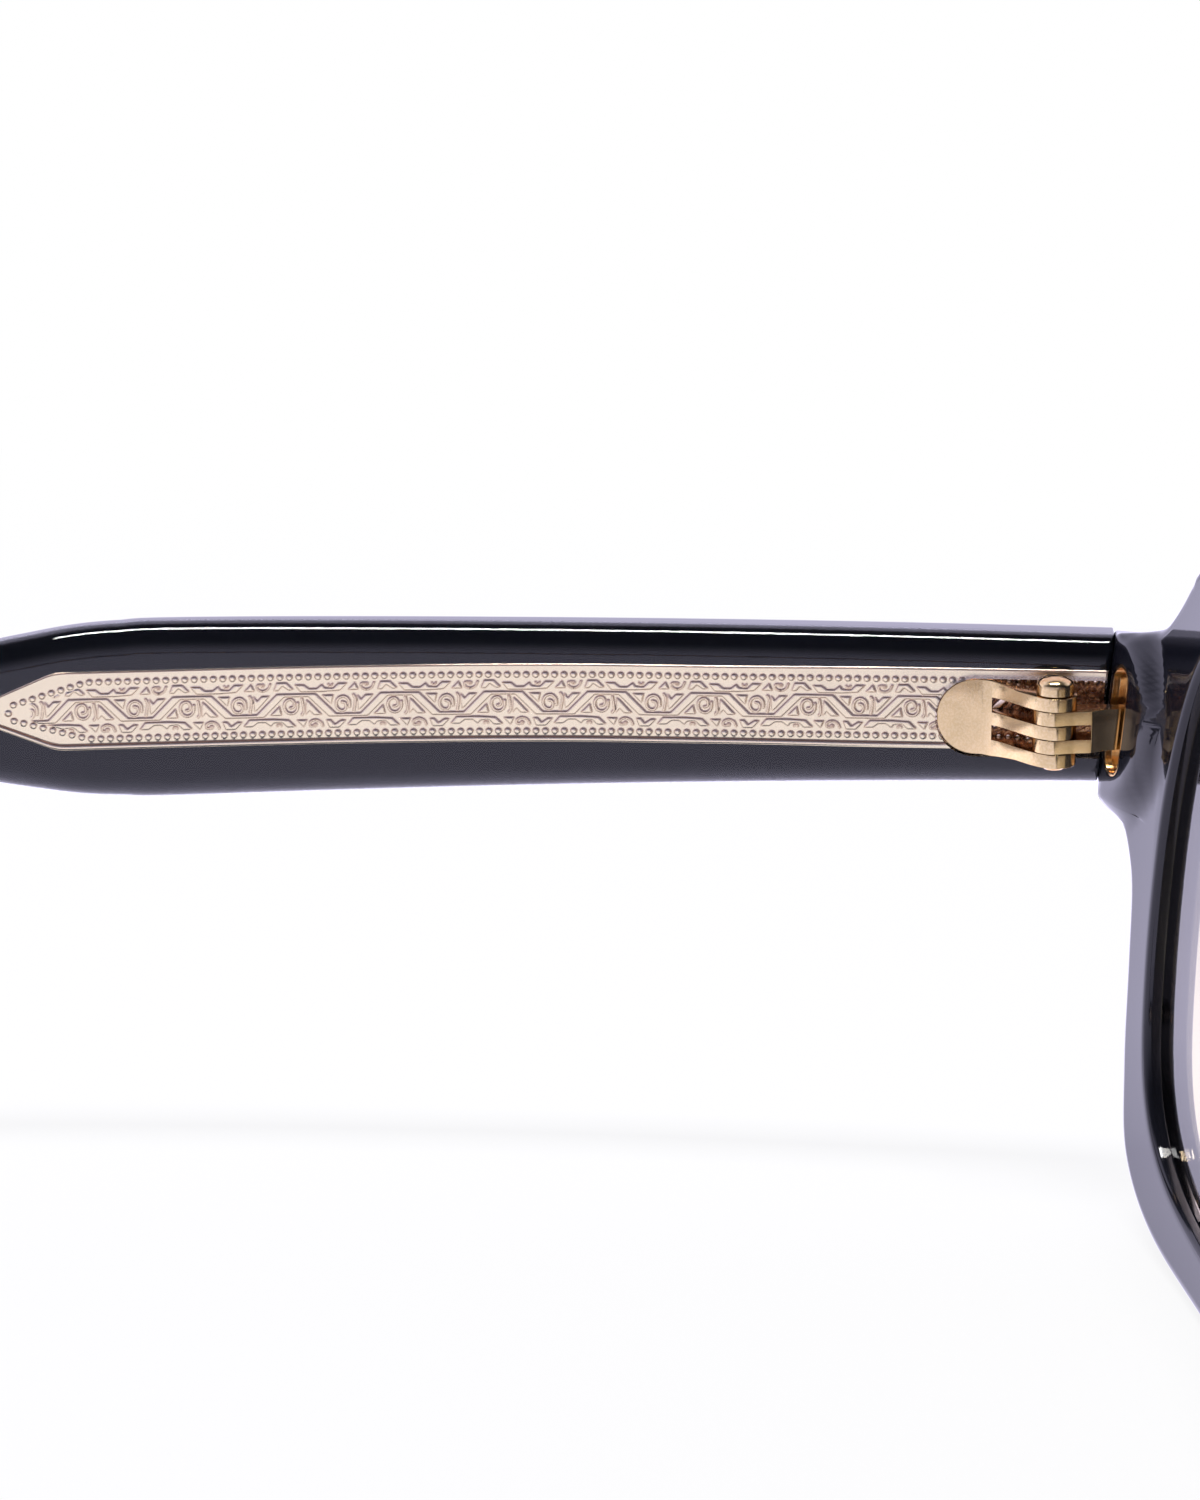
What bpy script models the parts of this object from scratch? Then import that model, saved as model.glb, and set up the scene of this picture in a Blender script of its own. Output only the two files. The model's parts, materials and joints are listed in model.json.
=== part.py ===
"""Sunglasses: an acetate front with two lenses and two laminated temples on five-barrel hinges.

Worn frame, in metres: X to the wearer's left, the front faces -Y, the temples run along +Y, Z up. The butt
joint between the front and the temples lies at Y = 0 and the temples' centre line at Z = 0. One empty then
sets the whole object down on a table, on the rims' lower edges and the temple tips.
"""

import math

import bmesh
import bpy
import numpy as np
from mathutils import Vector

MM = 0.001

# Front: the boxed lens size, the bridge between the lenses and the rim around them
LENS_WIDTH = 52.0 * MM
LENS_HEIGHT = 41.6 * MM
LENS_CENTRE_Z = -7.47 * MM
BRIDGE_WIDTH = 23.0 * MM
RIM_WIDTH = 4.0 * MM
FRONT_THICKNESS = 4.5 * MM
FRONT_TILT = math.radians(5.0)
FACE_CURVE_RADIUS = 180.0 * MM
FACE_CURVE_SLOPE = 0.07
BRIDGE_BLEND = 10.0 * MM
EDGE_RADIUS = 1.1 * MM
BUTT_EDGE_RADIUS = 0.25 * MM
LIP_RADIUS = 0.35 * MM
BRIDGE_TOP_Z = 10.83 * MM
BRIDGE_UNDER_Z = 2.03 * MM

# Endpiece: the block at each end of the front, whose raised pad carries the hinge and ends in an arc
ENDPIECE_REACH = 12.3 * MM
ENDPIECE_STEP = 1.3 * MM
HINGE_PAD = 4.9 * MM
HINGE_PAD_HEIGHT = 10.7 * MM
STEP_WIDTH = 1.9 * MM
REAR_SET_FORWARD = 1.7 * MM
BUTT_GAP = 0.25 * MM
BUTT_ZONE = 1.2 * MM

# Lens and the groove that holds it
LENS_THICKNESS = 1.6 * MM
REAR_LIP_DEPTH = 1.1 * MM
GROOVE_DEPTH = 0.8 * MM
LENS_BEVEL = 0.6 * MM
LENS_CLEARANCE = 0.06 * MM

# Nose pads
PAD_LENGTH = 13.0 * MM
PAD_WIDTH = 3.6 * MM
PAD_HEIGHT = 3.0 * MM
PAD_LEAN = math.radians(22.0)
PAD_OVERHANG = 0.35 * MM
PAD_Z = -9.07 * MM

# Temples
TEMPLE_LENGTH = 145.0 * MM
TEMPLE_SPLAY = math.radians(5.65)
BOW_RADIUS = 365.0 * MM
BOW_END = 76.0 * MM
EAR_BEND_START = 95.0 * MM
EAR_BEND_RADIUS = 34.0 * MM
EAR_BEND_ANGLE = math.radians(42.0)
TEMPLE_HEIGHT = 10.3 * MM
TEMPLE_BROAD_HEIGHT = 12.15 * MM
TEMPLE_NARROW_HEIGHT = 7.0 * MM
TEMPLE_TIP_HEIGHT = 9.6 * MM
TEMPLE_THICKNESS = 4.4 * MM
TEMPLE_MID_THICKNESS = 3.4 * MM
TEMPLE_TIP_THICKNESS = 3.6 * MM
TEMPLE_INNER_RADIUS = 1.5 * MM
TEMPLE_OUTER_RADIUS = 1.6 * MM
INNER_LAYER = 1.8 * MM
BOND_GAP = 0.05 * MM
TIP_ROUNDING = 6.0 * MM
LEAN_REACH = 12.0 * MM
PATH_STEP = 0.25 * MM

# Wire core inside each temple
CORE_WIDTH = 5.55 * MM
CORE_THICKNESS = 0.95 * MM
CORE_BEVEL = 0.3 * MM
CORE_START = 0.6 * MM
CORE_SHOULDER = 68.95 * MM
CORE_POINT = 76.45 * MM
WIRE_WIDTH = 1.4 * MM
WIRE_END = 137.0 * MM
CORE_CLEARANCE = 0.05 * MM

# Hinge: three barrels on the temple, two on the front, one screw
AXIS_SETBACK = 3.5 * MM
AXIS_STANDOFF = 2.6 * MM
AXIS_DROP = 0.4 * MM
BARREL_RADIUS = 1.45 * MM
BARREL_HEIGHT = 0.9 * MM
BARREL_CLEARANCE = 0.05 * MM
SCREW_RADIUS = 0.6 * MM
SCREW_CLEARANCE = 0.08 * MM
SCREW_HEAD_RADIUS = 1.25 * MM
SCREW_HEAD_HEIGHT = 1.2 * MM
SCREW_END_RADIUS = 0.75 * MM
SCREW_END_HEIGHT = 0.35 * MM
LEAF_REACH = 7.75 * MM
PLATE_HEIGHT = 5.15 * MM
LEAF_THICKNESS = 0.45 * MM
LEAF_BEND_START = 5.1 * MM
LEAF_HEIGHT = 3 * BARREL_HEIGHT + 2 * (BARREL_HEIGHT + 2 * BARREL_CLEARANCE)
LEAF_SEAT_GAP = 0.2 * MM
LEAF_SLOT_END = 4.1 * MM
LEAF_SHOULDER = 1.1 * MM
RECESS_CLEARANCE = 0.1 * MM
FRONT_LEAF_HEIGHT = 7.6 * MM
FRONT_LEAF_WIDTH = 2.8 * MM
FRONT_LEAF_THICKNESS = 0.8 * MM
FRONT_LEAF_SUNK = 0.35 * MM
FRONT_LEAF_INSET = 0.12 * MM
ARM_ROOT = 1.6 * MM
WEB_FACE = 2.4 * MM

# How finely the solids are faceted, as counts
OUTLINE_RAYS = 52
SEAM_RAYS = 7
RIM_RINGS = 5
TEMPLE_STATIONS = 30
ROUND_STEPS = 4
BARREL_SIDES = 24

REST_FLAT = 0.12 * MM

LENS_CENTRE_X = 0.5 * (BRIDGE_WIDTH + LENS_WIDTH)
HINGE_X = LENS_CENTRE_X + 0.5 * LENS_WIDTH + ENDPIECE_REACH - TEMPLE_THICKNESS
END_X = HINGE_X + TEMPLE_THICKNESS * math.cos(TEMPLE_SPLAY)


def smooth_curve(points, count, closed=False):
    """Points on a Catmull-Rom curve through the given ones, count of them for each span."""
    points = np.array(points, float)
    if closed:
        padded = np.vstack([points[-1], points, points[0], points[1]])
    else:
        padded = np.vstack([2 * points[0] - points[1], points, 2 * points[-1] - points[-2]])
    share = np.arange(count)[:, None] / count
    spans = []
    for index in range(len(padded) - 3):
        a, b, c, d = padded[index : index + 4]
        cubic = 3 * (b - c) + d - a
        square = 2 * a - 5 * b + 4 * c - d
        spans.append(0.5 * (2 * b + share * (c - a) + share**2 * square + share**3 * cubic))
    line = np.vstack(spans)
    return line if closed else np.vstack([line, points[-1]])


def smooth_value(keys, position):
    """A value read from a smooth curve through (position, value) keys."""
    curve = smooth_curve(keys, 12)
    return np.interp(position, curve[:, 0], curve[:, 1])


def smooth_step(value):
    value = np.clip(value, 0.0, 1.0)
    return value * value * (3.0 - 2.0 * value)


# Lens outline as shares of the boxed half width and half height, from the outer side downwards and round
LENS_SHAPE = [
    (1.0, 0.20), (0.977, -0.35), (0.88, -0.73), (0.655, -0.93), (0.25, -0.998), (-0.25, -0.98),
    (-0.655, -0.78), (-0.896, -0.27), (-1.0, 0.32), (-0.945, 0.72), (-0.69, 0.935), (-0.25, 0.998),
    (0.29, 0.99), (0.69, 0.875), (0.908, 0.63),
]


def lens_outline():
    """The closed edge of the left lens opening."""
    shape = np.array(LENS_SHAPE) * (0.5 * LENS_WIDTH, 0.5 * LENS_HEIGHT)
    return smooth_curve(shape, 12, closed=True) + (LENS_CENTRE_X, LENS_CENTRE_Z)


def front_outline():
    """Outer edge of the left half of the front, from the top of the bridge to its underside."""
    lens_left = LENS_CENTRE_X - 0.5 * LENS_WIDTH
    lens_right = LENS_CENTRE_X + 0.5 * LENS_WIDTH
    lens_top = LENS_CENTRE_Z + 0.5 * LENS_HEIGHT
    lens_bottom = LENS_CENTRE_Z - 0.5 * LENS_HEIGHT
    half = 0.5 * TEMPLE_HEIGHT
    rim = RIM_WIDTH
    bridge_and_brow = [
        (0.0, BRIDGE_TOP_Z),
        (0.6 * lens_left, BRIDGE_TOP_Z + 0.9 * MM),
        (lens_left + 4.0 * MM, lens_top + 0.45 * rim),
        (LENS_CENTRE_X - 0.29 * LENS_WIDTH, lens_top + rim),
        (LENS_CENTRE_X + 0.15 * LENS_WIDTH, lens_top + 0.97 * rim),
        (LENS_CENTRE_X + 0.36 * LENS_WIDTH, lens_top + 0.4 * rim),
        (lens_right - 0.8 * MM, lens_top - 0.21 * rim),
        (HINGE_X - 7.4 * MM, half + 6.1 * MM),
        (HINGE_X - 6.2 * MM, half + 4.6 * MM),
        (HINGE_X - 5.0 * MM, half + 3.3 * MM),
        (HINGE_X - 3.9 * MM, half + 2.15 * MM),
        (HINGE_X - 2.0 * MM, half + 1.15 * MM),
        (HINGE_X, half + 0.45 * MM),
        (HINGE_X + 1.5 * MM, half + 0.12 * MM),
    ]
    end_of_endpiece = [
        (END_X - 1.6 * MM, half),
        (END_X - 0.45 * MM, half - 0.45 * MM),
        (END_X, half - 1.6 * MM),
        (END_X, 0.0),
        (END_X, 1.2 * MM - half),
        (END_X - 0.25 * MM, 0.3 * MM - half),
        (END_X - 1.0 * MM, -half - 0.3 * MM),
    ]
    rim_and_nose = [
        (HINGE_X + 1.3 * MM, -half - 0.6 * MM),
        (HINGE_X - 0.2 * MM, -half - 1.2 * MM),
        (HINGE_X - 1.2 * MM, -half - 2.2 * MM),
        (HINGE_X - 2.3 * MM, -half - 3.6 * MM),
        (lens_right + 1.13 * rim, -half - 5.8 * MM),
        (lens_right + 0.88 * rim, LENS_CENTRE_Z - 0.195 * LENS_HEIGHT),
        (lens_right + 0.53 * rim, LENS_CENTRE_Z - 0.358 * LENS_HEIGHT),
        (lens_right - 0.08 * rim, lens_bottom + 0.03 * rim),
        (LENS_CENTRE_X + 0.37 * LENS_WIDTH, lens_bottom - 0.78 * rim),
        (LENS_CENTRE_X + 0.15 * LENS_WIDTH, lens_bottom - 0.96 * rim),
        (LENS_CENTRE_X - 0.14 * LENS_WIDTH, lens_bottom - 0.85 * rim),
        (LENS_CENTRE_X - 0.37 * LENS_WIDTH, lens_bottom + 0.22 * rim),
        (lens_left - 0.05 * rim, LENS_CENTRE_Z - 0.22 * LENS_HEIGHT),
        (lens_left - 0.72 * rim, LENS_CENTRE_Z),
        (0.45 * lens_left, BRIDGE_UNDER_Z - 2.5 * MM),
        (0.0, BRIDGE_UNDER_Z),
    ]
    return smooth_curve(bridge_and_brow + end_of_endpiece + rim_and_nose, 10)


def face_curve(x):
    """How far back the front bends at a distance x from its middle."""
    reach = np.sqrt(x * x + BRIDGE_BLEND**2)
    return (reach - LENS_CENTRE_X) ** 2 / (2 * FACE_CURVE_RADIUS) + FACE_CURVE_SLOPE * reach


def rim_rear(x):
    """Depth of the rims' rear face, without the endpiece's step."""
    return face_curve(x) - face_curve(HINGE_X - 1.5 * MM) - REAR_SET_FORWARD


def front_rear(x, height):
    """Depth of the front's whole rear face, square to the temple at the butt joint.

    It steps down to the rim along an arc around the hinge.
    """
    plain = rim_rear(np.minimum(x, HINGE_X)) - np.maximum(x - HINGE_X, 0.0) * math.tan(TEMPLE_SPLAY)
    across = np.minimum(x - HINGE_X, 0.0) / HINGE_PAD
    up = height / (0.5 * HINGE_PAD_HEIGHT)
    raised = smooth_step(1.0 + (1.0 - np.hypot(across, up)) * HINGE_PAD / STEP_WIDTH)
    return plain + ENDPIECE_STEP * raised


def front_point(x, height, depth):
    """Worn-frame place of a point of the front, which leans by its tilt."""
    lean, rise = math.sin(FRONT_TILT), math.cos(FRONT_TILT)
    return np.stack([x + 0 * depth, depth * rise - height * lean, depth * lean + height * rise], axis=-1)


def distance_to(line, points):
    """Least distance from each point to an open polyline."""
    start, end = line[:-1], line[1:]
    run = end - start
    offset = points[:, None, :] - start
    share = np.clip((offset * run).sum(-1) / (run * run).sum(-1), 0.0, 1.0)
    return np.linalg.norm(offset - share[..., None] * run, axis=-1).min(axis=1)


def rounding(distance, radius):
    """How far a rounded edge falls away at a distance from it."""
    short = np.clip(radius - distance, 0.0, radius)
    return radius - np.sqrt(radius * radius - short * short)


def ray_lengths(line, angles, centre, closed):
    """Distance from the centre to a line at each angle."""
    offset = line - centre
    bearing = np.unwrap(np.arctan2(offset[:, 1], offset[:, 0]))
    reach = np.linalg.norm(offset, axis=1)
    if closed:
        turn = 2 * math.pi * np.sign(bearing[-1] - bearing[0])
        bearing = np.concatenate([bearing - turn, bearing, bearing + turn])
        reach = np.tile(reach, 3)
    order = np.argsort(bearing)
    return np.interp(angles, bearing[order], reach[order])


def spread_along(line, count):
    """Points at even steps along a line, both ends included."""
    steps = np.linalg.norm(np.diff(line, axis=0), axis=1)
    travel = np.concatenate([[0.0], np.cumsum(steps)])
    at = np.linspace(0.0, travel[-1], count)
    return np.column_stack([np.interp(at, travel, line[:, axis]) for axis in (0, 1)])


def lens_rays():
    """Rays from the lens centre to the outer edge of the half front: ends, directions and both lengths.

    The first ones end on the outline and the last ones on the mirror plane. Rim and lens share them, so that
    their facets meet.
    """
    centre = np.array([LENS_CENTRE_X, LENS_CENTRE_Z])
    rim_ends = spread_along(front_outline(), OUTLINE_RAYS)
    ease = 0.5 - 0.5 * np.cos(np.pi * np.arange(1, SEAM_RAYS) / SEAM_RAYS)
    seam_ends = np.column_stack([0 * ease, BRIDGE_UNDER_Z + (BRIDGE_TOP_Z - BRIDGE_UNDER_Z) * ease])
    offset = np.vstack([rim_ends, seam_ends]) - centre
    angles = np.arctan2(offset[:, 1], offset[:, 0])
    end_reach = np.linalg.norm(offset, axis=1)
    hole_reach = ray_lengths(lens_outline(), angles, centre, closed=True)
    return centre, offset / end_reach[:, None], hole_reach, end_reach


def half_front():
    """Left half of the front: rays from the lens opening outward, each a closed section through the rim.

    A ray's section runs over the rear face, down the outer edge, back over the front face and through the
    lens groove. The rays that end on the mirror plane have no outer edge, and stay open there.
    """
    outline = front_outline()
    centre, aim, hole_reach, end_reach = lens_rays()

    bend = 1 - np.sin(0.5 * np.pi * np.arange(ROUND_STEPS + 1) / ROUND_STEPS)
    from_hole = np.array([0.0, 0.4, 1.0]) * LIP_RADIUS
    span = (end_reach - hole_reach)[:, None]
    inner = hole_reach[:, None] + from_hole
    outer = end_reach[:, None] - bend * EDGE_RADIUS
    between = np.arange(1, RIM_RINGS) / RIM_RINGS
    middle = inner[:, -1:] + (outer[:, :1] - inner[:, -1:]) * between
    reach = np.hstack([inner, middle, outer])
    flat = centre + reach[..., None] * aim[:, None, :]
    places = flat.reshape(-1, 2)
    edge = distance_to(outline, places).reshape(reach.shape)
    lip = np.minimum(reach - hole_reach[:, None], span)
    x, height = flat[..., 0], flat[..., 1]

    near_butt = smooth_step((x - HINGE_X + BUTT_ZONE) / BUTT_ZONE)
    rear_radius = EDGE_RADIUS + (BUTT_EDGE_RADIUS - EDGE_RADIUS) * near_butt
    rear = front_rear(x, height) - rounding(edge, rear_radius) - rounding(lip, LIP_RADIUS)
    face = rim_rear(x) - FRONT_THICKNESS + rounding(edge, EDGE_RADIUS) + rounding(lip, LIP_RADIUS)

    groove_reach = hole_reach[:, None] + np.array([0.0, GROOVE_DEPTH, 0.0])
    groove = centre + groove_reach[..., None] * aim[:, None, :]
    groove_middle = REAR_LIP_DEPTH + 0.5 * LENS_THICKNESS
    below = np.array([groove_middle + 0.5 * LENS_THICKNESS, groove_middle, REAR_LIP_DEPTH])
    groove_depth = rim_rear(groove[..., 0]) - below

    rear_points = front_point(x, height, rear)
    face_points = front_point(x, height, face)[:, ::-1]
    groove_points = front_point(groove[..., 0], groove[..., 1], groove_depth)
    sections = np.concatenate([rear_points, face_points, groove_points], axis=1)

    rays, size = sections.shape[:2]
    turn_over = rear_points.shape[1] - 1
    faces = []
    for ray in range(rays):
        beyond = (ray + 1) % rays
        on_seam = ray >= OUTLINE_RAYS - 1
        for step in range(size):
            if on_seam and step == turn_over:
                continue
            after = (step + 1) % size
            corners = (ray * size + step, ray * size + after, beyond * size + after, beyond * size + step)
            faces.append(corners)
    points = sections.reshape(-1, 3)
    points[np.abs(points[:, 0]) < 1e-9, 0] = 0.0
    return points, faces


def lens_mesh():
    """Left lens: a curved sheet with a bevelled edge that sits in the rim's groove."""
    centre, aim, reach, _ = lens_rays()
    rings = [0.25, 0.5, 0.75]
    half = 0.5 * LENS_THICKNESS
    middle = REAR_LIP_DEPTH + half
    edge = reach - LENS_CLEARANCE
    bevel = reach + LENS_BEVEL
    stack = [(share * edge, middle - half) for share in rings] + [(edge, middle - half), (bevel, middle)]
    stack += [(edge, middle + half)] + [(share * edge, middle + half) for share in reversed(rings)]
    sections = []
    for length, below in stack:
        place = centre + length[:, None] * aim
        sections.append(front_point(place[:, 0], place[:, 1], rim_rear(place[:, 0]) - below))
    points, faces = loft(np.array(sections), caps=False)
    poles = []
    for below in (middle - half, middle + half):
        poles.append(front_point(centre[:1], centre[1:], rim_rear(centre[:1]) - below)[0])
    points = np.vstack([points, poles])
    last = len(points)
    size = len(aim)
    ring_start = (len(stack) - 1) * size
    for index in range(size):
        after = (index + 1) % size
        faces.append((last - 2, index, after))
        faces.append((last - 1, ring_start + after, ring_start + index))
    return points, faces


def pad_mesh():
    """Left nose pad: a rounded wedge on the rear of the rim, beside the nose."""
    rings, size = 5, 20
    angle = np.arange(size) * 2 * math.pi / size
    edge_x = LENS_CENTRE_X - 0.5 * LENS_WIDTH + PAD_OVERHANG
    along = np.array([math.sin(PAD_LEAN), -math.cos(PAD_LEAN)])
    across = np.array([along[1], -along[0]])
    sections = []
    for ring in range(rings + 1):
        lift = 0.5 * math.pi * ring / (rings + 0.5)
        share = math.cos(lift)
        plan = (0.5 * PAD_LENGTH * share * np.cos(angle))[:, None] * along
        plan = plan + (0.5 * PAD_WIDTH * share * np.sin(angle))[:, None] * across
        plan = plan + (edge_x, PAD_Z) + 0.25 * PAD_HEIGHT * math.sin(lift) * across
        base = front_rear(plan[:, 0], plan[:, 1]) + BOND_GAP
        sections.append(front_point(plan[:, 0], plan[:, 1], base + PAD_HEIGHT * math.sin(lift)))
    return loft(np.array(sections))


def loft(sections, caps=True):
    """Faces between closed sections of equal size, and one across each end."""
    count, size = sections.shape[:2]
    faces = []
    for row in range(count - 1):
        for step in range(size):
            after = (step + 1) % size
            below, above = row * size, (row + 1) * size
            faces.append((below + step, below + after, above + after, above + step))
    if caps:
        faces.append(tuple(reversed(range(size))))
        faces.append(tuple((count - 1) * size + step for step in range(size)))
    return sections.reshape(-1, 3), faces


def temple_path(along):
    """Place, inward direction and up direction of the left temple's inner face at distances along it."""
    fine = np.arange(-10.0 * MM, TEMPLE_LENGTH + 10.0 * MM, PATH_STEP)
    yaw = TEMPLE_SPLAY - np.clip(fine, 0.0, BOW_END) / BOW_RADIUS
    drop = np.clip((fine - EAR_BEND_START) / EAR_BEND_RADIUS, 0.0, EAR_BEND_ANGLE)
    way = np.column_stack([np.sin(yaw) * np.cos(drop), np.cos(yaw) * np.cos(drop), -np.sin(drop)])
    travel = np.vstack([np.zeros(3), np.cumsum(0.5 * (way[1:] + way[:-1]) * PATH_STEP, axis=0)])
    start = np.array([np.interp(0.0, fine, travel[:, axis]) for axis in range(3)])
    travel = travel - start + (HINGE_X, 0.0, 0.0)
    place = np.column_stack([np.interp(along, fine, travel[:, axis]) for axis in range(3)])
    yaw = np.interp(along, fine, yaw)
    drop = np.interp(along, fine, drop)
    inward = np.column_stack([-np.cos(yaw), np.sin(yaw), 0 * yaw])
    up = np.column_stack([np.sin(yaw) * np.sin(drop), np.cos(yaw) * np.sin(drop), np.cos(drop)])
    return place, inward, up


def temple_height(along):
    keys = [
        (0.0, TEMPLE_HEIGHT),
        (0.24 * TEMPLE_LENGTH, TEMPLE_HEIGHT + 0.57 * (TEMPLE_BROAD_HEIGHT - TEMPLE_HEIGHT)),
        (CORE_SHOULDER - 8.2 * MM, TEMPLE_BROAD_HEIGHT),
        (CORE_SHOULDER - 3.2 * MM, TEMPLE_BROAD_HEIGHT - 0.18 * MM),
        (CORE_SHOULDER, TEMPLE_BROAD_HEIGHT - 0.66 * MM),
        (CORE_POINT - 3.9 * MM, TEMPLE_BROAD_HEIGHT - 1.86 * MM),
        (CORE_POINT + 1.0 * MM, TEMPLE_NARROW_HEIGHT + 1.5 * MM),
        (CORE_POINT + 7.5 * MM, TEMPLE_NARROW_HEIGHT + 0.35 * MM),
        (EAR_BEND_START - 6.0 * MM, TEMPLE_NARROW_HEIGHT),
        (EAR_BEND_START + 8.0 * MM, TEMPLE_NARROW_HEIGHT + 0.2 * MM),
        (TEMPLE_LENGTH - 20.0 * MM, TEMPLE_TIP_HEIGHT - 0.7 * MM),
        (TEMPLE_LENGTH - TIP_ROUNDING, TEMPLE_TIP_HEIGHT),
        (TEMPLE_LENGTH, TEMPLE_TIP_HEIGHT),
    ]
    return smooth_value(keys, along)


def temple_thickness(along):
    keys = [
        (0.0, TEMPLE_THICKNESS),
        (0.4 * TEMPLE_LENGTH, TEMPLE_MID_THICKNESS),
        (0.6 * TEMPLE_LENGTH, TEMPLE_MID_THICKNESS - 0.15 * MM),
        (TEMPLE_LENGTH, TEMPLE_TIP_THICKNESS),
    ]
    return smooth_value(keys, along)


def temple_places(along, depth, height):
    """Worn-frame points at a distance along the temple, a depth from its inner face and a height."""
    place, inward, up = temple_path(along)
    return place - depth[:, None] * inward + height[:, None] * up


def temple_layer(inner):
    """One layer of the left temple: the clear inner one or the opaque outer one."""
    body = np.linspace(BUTT_GAP, TEMPLE_LENGTH - TIP_ROUNDING, TEMPLE_STATIONS)
    tip_share = np.sin(0.5 * np.pi * np.array([0.3, 0.55, 0.78, 0.94]))
    tip = TEMPLE_LENGTH - TIP_ROUNDING * (1.0 - tip_share)
    stations = np.concatenate([body, tip])
    steps = 1 - np.cos(0.5 * np.pi * np.arange(ROUND_STEPS + 1) / ROUND_STEPS)
    sections = []
    for along in stations:
        thickness = float(temple_thickness(along))
        half = 0.5 * float(temple_height(along))
        end = max(0.0, (along - TEMPLE_LENGTH + TIP_ROUNDING) / TIP_ROUNDING)
        half *= math.sqrt(1.0 - end * end)
        squash = math.sqrt(1.0 - 0.8 * end * end)
        low = 0.5 * thickness * (1.0 - squash)
        high = 0.5 * thickness * (1.0 + squash)
        if inner:
            radius = min(TEMPLE_INNER_RADIUS, half)
            depth = low + np.append(steps[:-1] * radius, INNER_LAYER - 0.5 * BOND_GAP - low)
            reach = half - rounding(depth - low, radius)
        else:
            radius = min(TEMPLE_OUTER_RADIUS, half)
            top = INNER_LAYER + 0.5 * BOND_GAP
            rounded = high - steps[::-1][1:] * min(radius, high - top - 0.05 * MM)
            depth = np.append(top, rounded)
            reach = half - rounding(high - depth, radius)
        depth = np.concatenate([depth, depth[::-1]])
        height = np.concatenate([reach, -reach[::-1]])
        lean = max(0.0, 1.0 - along / LEAN_REACH) * math.tan(FRONT_TILT)
        sections.append(temple_places(along - height * lean, depth, height))
    return loft(np.array(sections))


def core_half_width(along, spread):
    """Half width of the wire core: a plate with a point, then a thin wire."""
    plate = 0.5 * CORE_WIDTH * np.clip((CORE_POINT - along) / (CORE_POINT - CORE_SHOULDER), 0.0, 1.0)
    return np.maximum(plate, 0.5 * WIRE_WIDTH) + spread


def core_mesh(spread=0.0, cutter=False):
    """Core of the left temple, or with a spread its pocket, open to the outer layer and to the butt joint."""
    wire_start = CORE_POINT - (CORE_POINT - CORE_SHOULDER) * WIRE_WIDTH / CORE_WIDTH
    plate = np.linspace(-CORE_START if cutter else CORE_START, CORE_SHOULDER, 13)
    wire = np.linspace(wire_start, WIRE_END + spread, 14)
    sections = []
    low = INNER_LAYER - CORE_THICKNESS - spread
    high = INNER_LAYER + CORE_THICKNESS if cutter else INNER_LAYER - 0.5 * BOND_GAP
    for along in np.concatenate([plate, wire]):
        half = float(core_half_width(along, spread))
        bevel = 0.0 if cutter else CORE_BEVEL
        depth = np.array([low, low + bevel, high, high, low + bevel, low])
        height = np.array([half - bevel, half, half, -half, -half, bevel - half])
        if cutter:
            depth = depth[[0, 2, 3, 5]]
            height = height[[0, 2, 3, 5]]
        sections.append(temple_places(np.full(len(depth), along), depth, height))
    return loft(np.array(sections))


def hinge_frame():
    """Matrix from hinge coordinates (along the temple, inward, up) to the worn frame, at the left axis."""
    place, inward, up = temple_path(np.array([AXIS_SETBACK]))
    origin = place[0] + AXIS_STANDOFF * inward[0] - AXIS_DROP * up[0]
    forward = np.cross(inward[0], up[0])
    frame = np.eye(4)
    frame[:3, 0], frame[:3, 1], frame[:3, 2], frame[:3, 3] = forward, inward[0], up[0], origin
    return frame


def prism(outline, low, high, axis):
    """A prism on a flat outline, across one of the hinge axes: 1 is inward and 2 is up."""
    outline = np.array(outline)
    sections = []
    for level in (low, high):
        column = np.full(len(outline), level)
        order = (column, outline[:, 1]) if axis == 1 else (outline[:, 1], column)
        sections.append(np.column_stack((outline[:, 0], *order)))
    return loft(np.array(sections))


def arc(centre, radius, start, end, count):
    angles = np.radians(np.linspace(start, end, count))
    return [(centre[0] + radius * math.cos(angle), centre[1] + radius * math.sin(angle)) for angle in angles]


def leaf_seat():
    """Level of the temple leaf's underside, just clear of the core, in hinge coordinates."""
    return -AXIS_STANDOFF - (INNER_LAYER - CORE_THICKNESS - LEAF_SEAT_GAP)


def temple_leaf_profile():
    """Side view of the temple leaf: barrel, prong that bends out, and the plate on the core."""
    low = leaf_seat()
    top = low + LEAF_THICKNESS
    share = np.linspace(0.0, 1.0, 9)
    bend = np.column_stack([LEAF_BEND_START * (1 - share), top + (BARREL_RADIUS - top) * smooth_step(share)])
    barrel = arc((0.0, 0.0), BARREL_RADIUS, 105, 315, 13)
    under = [(0.18 * LEAF_REACH, -1.6 * MM), (0.28 * LEAF_REACH, -2.7 * MM), (0.4 * LEAF_REACH, low)]
    return [(LEAF_REACH, top)] + bend.tolist() + barrel + under + [(LEAF_REACH, low)]


def box_mesh(low, high):
    """A box between two corners, as a prism."""
    outline = [(low[0], low[1]), (high[0], low[1]), (high[0], high[1]), (low[0], high[1])]
    return prism(outline, low[2], high[2], axis=2)


def make_material(name, colour, roughness, metallic=0.0, alpha=1.0):
    material = bpy.data.materials.new(name)
    material.use_nodes = True
    shader = material.node_tree.nodes["Principled BSDF"]
    shader.inputs["Base Color"].default_value = (*colour, 1.0)
    shader.inputs["Roughness"].default_value = roughness
    shader.inputs["Metallic"].default_value = metallic
    shader.inputs["Alpha"].default_value = alpha
    return material


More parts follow.
